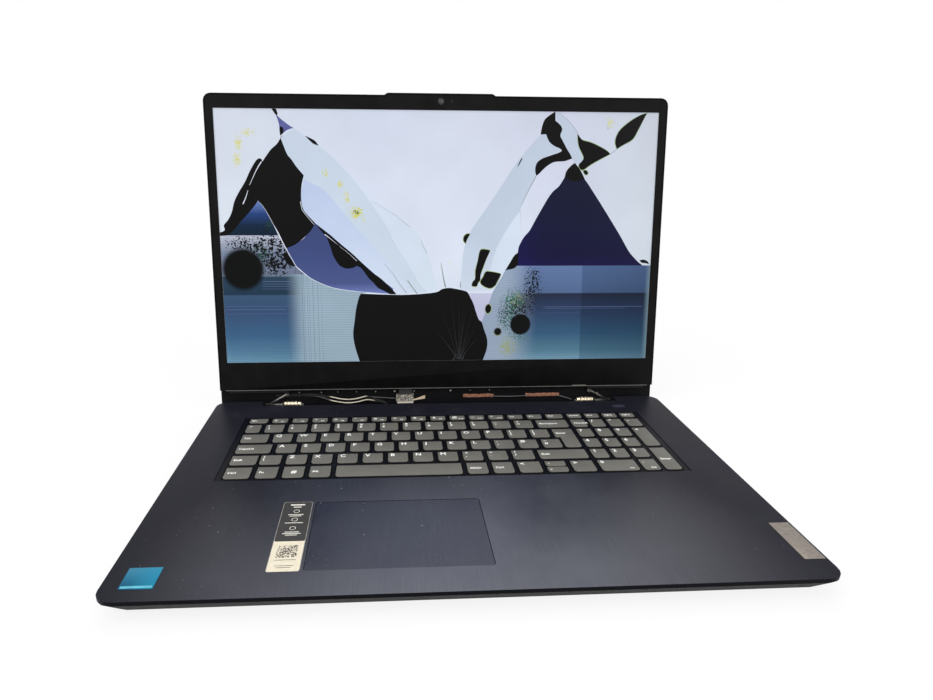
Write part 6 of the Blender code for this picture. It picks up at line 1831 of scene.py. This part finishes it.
@dataclass
class Dressing:
    """The finish of each CAD node that is shown as it is."""

    frames: dict[str, Frame]
    deck: float

    def build(self) -> None:
        """Gives every node its material."""
        base, lid = self.frames["base"], self.frames["lid"]
        deck = BrushedDeck().make(base, self.deck)
        # the touchpad's third colour is painted shade on its sunk sides, and its middle takes the painted
        # sheen of raised specular
        pad = BrushedDeck("brushed_touchpad", srgb(29, 30, 42), srgb(20, 21, 30), 0.28, 0.14, 0.6,
                          shine=(0.1, 1.0)).make(base, self.deck - 0.15)
        bottom = Moulded("bottom_plastic", srgb(13, 13, 15), 0.62, 2.5, 0.03, shine=0.12).make()
        steel = BareMetal("socket_steel", srgb(150, 148, 144), 0.32).make()
        dark_steel = BareMetal("dark_steel", srgb(60, 59, 58), 0.4).make()
        black = Moulded("black_plastic", srgb(24, 24, 26), 0.5).make()
        copper = BareMetal("copper", srgb(200, 128, 92), 0.3).make()
        board = CircuitBoard().make()
        plain = {
            "palmrest_cover": deck, "touchpad": pad, "bottom_cover": bottom,
            "lid_cover": Moulded("lid_shell", srgb(11, 11, 14), 0.5, 3.0, 0.02, 0.12, 0.08).make(),
            "bezel": Moulded("bezel_plastic", srgb(13, 13, 13), 0.5, 3.5, 0.03, 0.15, 0.07).make(),
            "camera_board": Moulded("camera_module", srgb(12, 12, 12), 0.5).make(),
            "power_button": Moulded("power_plastic", srgb(48, 50, 66), 0.32, 3.0, 0.01).make(),
            "battery_pack": Moulded("battery_wrap", srgb(26, 26, 28), 0.5, 1.0, 0.03).make(),
            "hard_drive": BareMetal("drive_case", srgb(186, 188, 192), 0.34).make(),
            "heat_sink": BareMetal("fin_aluminium", srgb(200, 202, 204), 0.32).make(),
        }
        for names, finish in ((("foot_rear", "foot_front_left", "foot_front_right"),
                               Moulded("foot_rubber", srgb(20, 20, 20), 0.85, 2.0, 0.05).make()),
                              (("hinge_arm_left", "hinge_arm_right"), CoatedSteel().make(lid)),
                              (("hinge_bracket_left", "hinge_bracket_right", "touchpad_bracket"),
                               dark_steel),
                              (("hdmi_port", "usb_port_left", "usb_port_right", "card_reader"), steel),
                              (("dc_jack", "audio_jack", "fan_housing", "fan_impeller", "speaker_left",
                                "speaker_right"), black),
                              (("motherboard", "io_board", "memory_module", "ssd_module", "wifi_card"),
                               board),
                              (("cold_plate", "heat_pipe", "antenna_left", "antenna_right"), copper)):
            plain.update({name: finish for name in names})
        for name, finish in plain.items():
            node = bpy.data.objects[name]
            node.data.materials.clear()
            node.data.materials.append(finish)
            LOG.info("%s: %s", name, finish.name)
        for name, width in (("palmrest_cover", 0.28), ("bottom_cover", 0.35), ("lid_cover", 0.3),
                            ("bezel", 0.12), ("touchpad", 0.12), ("power_button", 0.12)):
            self.soften(bpy.data.objects[name], width)

    @staticmethod
    def soften(node: bpy.types.Object, width: float) -> None:
        """Rounds a CAD node's sharp edges a little, by modifiers alone.

        Args:
            node: The node's object.
            width: The bevel's width in millimetres.
        """
        weld = node.modifiers.new("weld", "WELD")
        weld.merge_threshold = 0.002 * MM
        bevel = node.modifiers.new("soft_edges", "BEVEL")
        bevel.width = width * MM
        bevel.segments = 2
        bevel.limit_method = "ANGLE"
        bevel.angle_limit = math.radians(50)
        bevel.use_clamp_overlap = True
        bevel.harden_normals = False


# Floor, light and camera


@dataclass
class Studio:
    """A plain pale floor, soft light and the camera at the photo's place."""

    base: Frame
    deck: float
    camera_at: tuple[float, float, float] = (-47.169, -267.466, 217.257)   # from the deck's front edge
    yaw: float = math.radians(3.519)
    pitch: float = math.radians(20.688)
    roll: float = math.radians(0.461)
    focal: float = 630.924        # in pixels of a frame 933 wide
    middle: Point = (425.185, 382.992)
    size: Point = (933.0, 700.0)

    def build(self) -> None:
        """Makes all of it."""
        bpy.context.scene.view_settings.view_transform = "Standard"
        self.make_floor()
        self.make_world()
        self.make_lights()
        self.make_camera()

    def make_floor(self) -> None:
        """Makes the floor, which is nearly white to the camera and keeps a soft shadow."""
        bm = bmesh.new()
        bmesh.ops.create_grid(bm, x_segments=2, y_segments=2, size=4.0)
        mesh = bpy.data.meshes.new("floor")
        bm.to_mesh(mesh)
        bm.free()
        floor = bpy.data.objects.new("floor", mesh)
        bpy.context.scene.collection.objects.link(floor)
        shader = Shader("pale_floor", (0.86, 0.86, 0.86), 0.9)
        tree = shader.tree
        path = shader.node("LightPath")
        seen = shader.math("MAXIMUM", path.outputs["Is Camera Ray"], path.outputs["Is Glossy Ray"])
        bright = shader.node("Emission", {"Color": (1.0, 1.0, 1.0, 1.0), "Strength": 1.0})
        parts = shader.node("SeparateXYZ", {0: shader.place()}).outputs
        far = shader.distance(parts, (0.0, 0.0))
        share = shader.node("MapRange", {0: far, 1: 260.0, 2: 700.0, 3: 0.86, 4: 1.0}).outputs[0]
        blend = shader.node("MixShader", {0: shader.math("MULTIPLY", seen, share)})
        tree.links.new(shader.principled.outputs[0], blend.inputs[1])
        tree.links.new(bright.outputs[0], blend.inputs[2])
        tree.links.new(blend.outputs[0], tree.nodes["Material Output"].inputs["Surface"])
        mesh.materials.append(shader.material)

    def make_world(self) -> None:
        """Makes the backdrop white to the camera and to reflections, and dimmer as a light."""
        world = bpy.data.worlds.new("studio")
        bpy.context.scene.world = world
        world.use_nodes = True
        tree = world.node_tree
        background = tree.nodes["Background"]
        background.inputs["Color"].default_value = (1.0, 1.0, 1.0, 1.0)
        path = tree.nodes.new("ShaderNodeLightPath")
        source = path.outputs["Is Camera Ray"]
        for ray in ("Is Glossy Ray", "Is Transmission Ray"):
            most = tree.nodes.new("ShaderNodeMath")
            most.operation = "MAXIMUM"
            tree.links.new(source, most.inputs[0])
            tree.links.new(path.outputs[ray], most.inputs[1])
            source = most.outputs[0]
        level = tree.nodes.new("ShaderNodeMapRange")
        level.inputs[3].default_value = 0.5
        level.inputs[4].default_value = 1.0
        tree.links.new(source, level.inputs[0])
        tree.links.new(level.outputs[0], background.inputs["Strength"])

    def make_lights(self) -> None:
        """Hangs three soft boxes."""
        for name, place, aim, size, power in (
                ("key_light", (-0.9, -0.7, 1.5), (0.0, 0.0, 0.05), 1.2, 17.0),
                ("fill_light", (1.2, -0.9, 1.0), (0.0, 0.0, 0.1), 1.2, 8.0),
                ("top_light", (0.1, 0.5, 1.7), (0.0, 0.0, 0.0), 1.4, 11.0)):
            light = bpy.data.lights.new(name, "AREA")
            light.shape = "SQUARE"
            light.size = size
            light.energy = power
            lamp = bpy.data.objects.new(name, light)
            lamp.location = place
            lamp.rotation_euler = (Vector(aim) - Vector(place)).to_track_quat("-Z", "Y").to_euler()
            bpy.context.scene.collection.objects.link(lamp)

    def make_camera(self) -> None:
        """Sets the camera where the photo was taken from, with the photo's framing."""
        data = bpy.data.cameras.new("camera")
        data.sensor_width = 36.0
        data.lens = self.focal * data.sensor_width / self.size[0]
        data.shift_x = (self.size[0] / 2 - self.middle[0]) / self.size[0]
        data.shift_y = (self.middle[1] - self.size[1] / 2) / self.size[0]
        data.clip_start = 0.01
        camera = bpy.data.objects.new("camera", data)
        ahead = Vector((math.sin(self.yaw) * math.cos(self.pitch),
                        math.cos(self.yaw) * math.cos(self.pitch), -math.sin(self.pitch)))
        level = Vector((math.cos(self.yaw), -math.sin(self.yaw), 0.0))
        above = level.cross(ahead)
        right = level * math.cos(self.roll) + above * math.sin(self.roll)
        up = above * math.cos(self.roll) - level * math.sin(self.roll)
        turn = Matrix((right, up, -ahead)).transposed()
        x, y, z = self.camera_at
        camera.matrix_world = Matrix.Translation(self.base.point(x, y, self.deck + z)) @ turn.to_4x4()
        bpy.context.scene.collection.objects.link(camera)
        bpy.context.scene.camera = camera


def main() -> None:
    """Builds the scene round the frame."""
    logging.basicConfig(level=logging.INFO, format="%(message)s")
    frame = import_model()
    low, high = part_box("palmrest_cover")
    deck = high.z / MM
    axis = Vector(next(j["pos_m"] for j in frame["joints"] if j["name"] == "lid_hinge"))
    base = Frame(Matrix.Translation((0, low.y, 0)), Body.BASE.value)
    lid = Frame(Matrix.Translation(axis) @ Matrix.Rotation(math.pi - OPEN_ANGLE, 4, "X"), Body.LID.value)
    Dressing({"base": base, "lid": lid}, deck).build()
    Screen(lid).build()
    caps = KeyPlastic().make(base, deck + 0.3)
    print_white = Printed("legend_white", srgb(250, 249, 244), 0.5, 0.03).make()
    plate = Moulded("keyboard_plate_black", srgb(16, 16, 18), 0.5).make()
    Keyboard(base, deck).build(caps, print_white, plate)
    DeckTrim(base, deck).build()
    HingeStrip(lid, base).build()
    LidTrim(lid).build()
    Underside(base).build()
    Studio(base, deck).build()


if __name__ == "__main__":
    main()
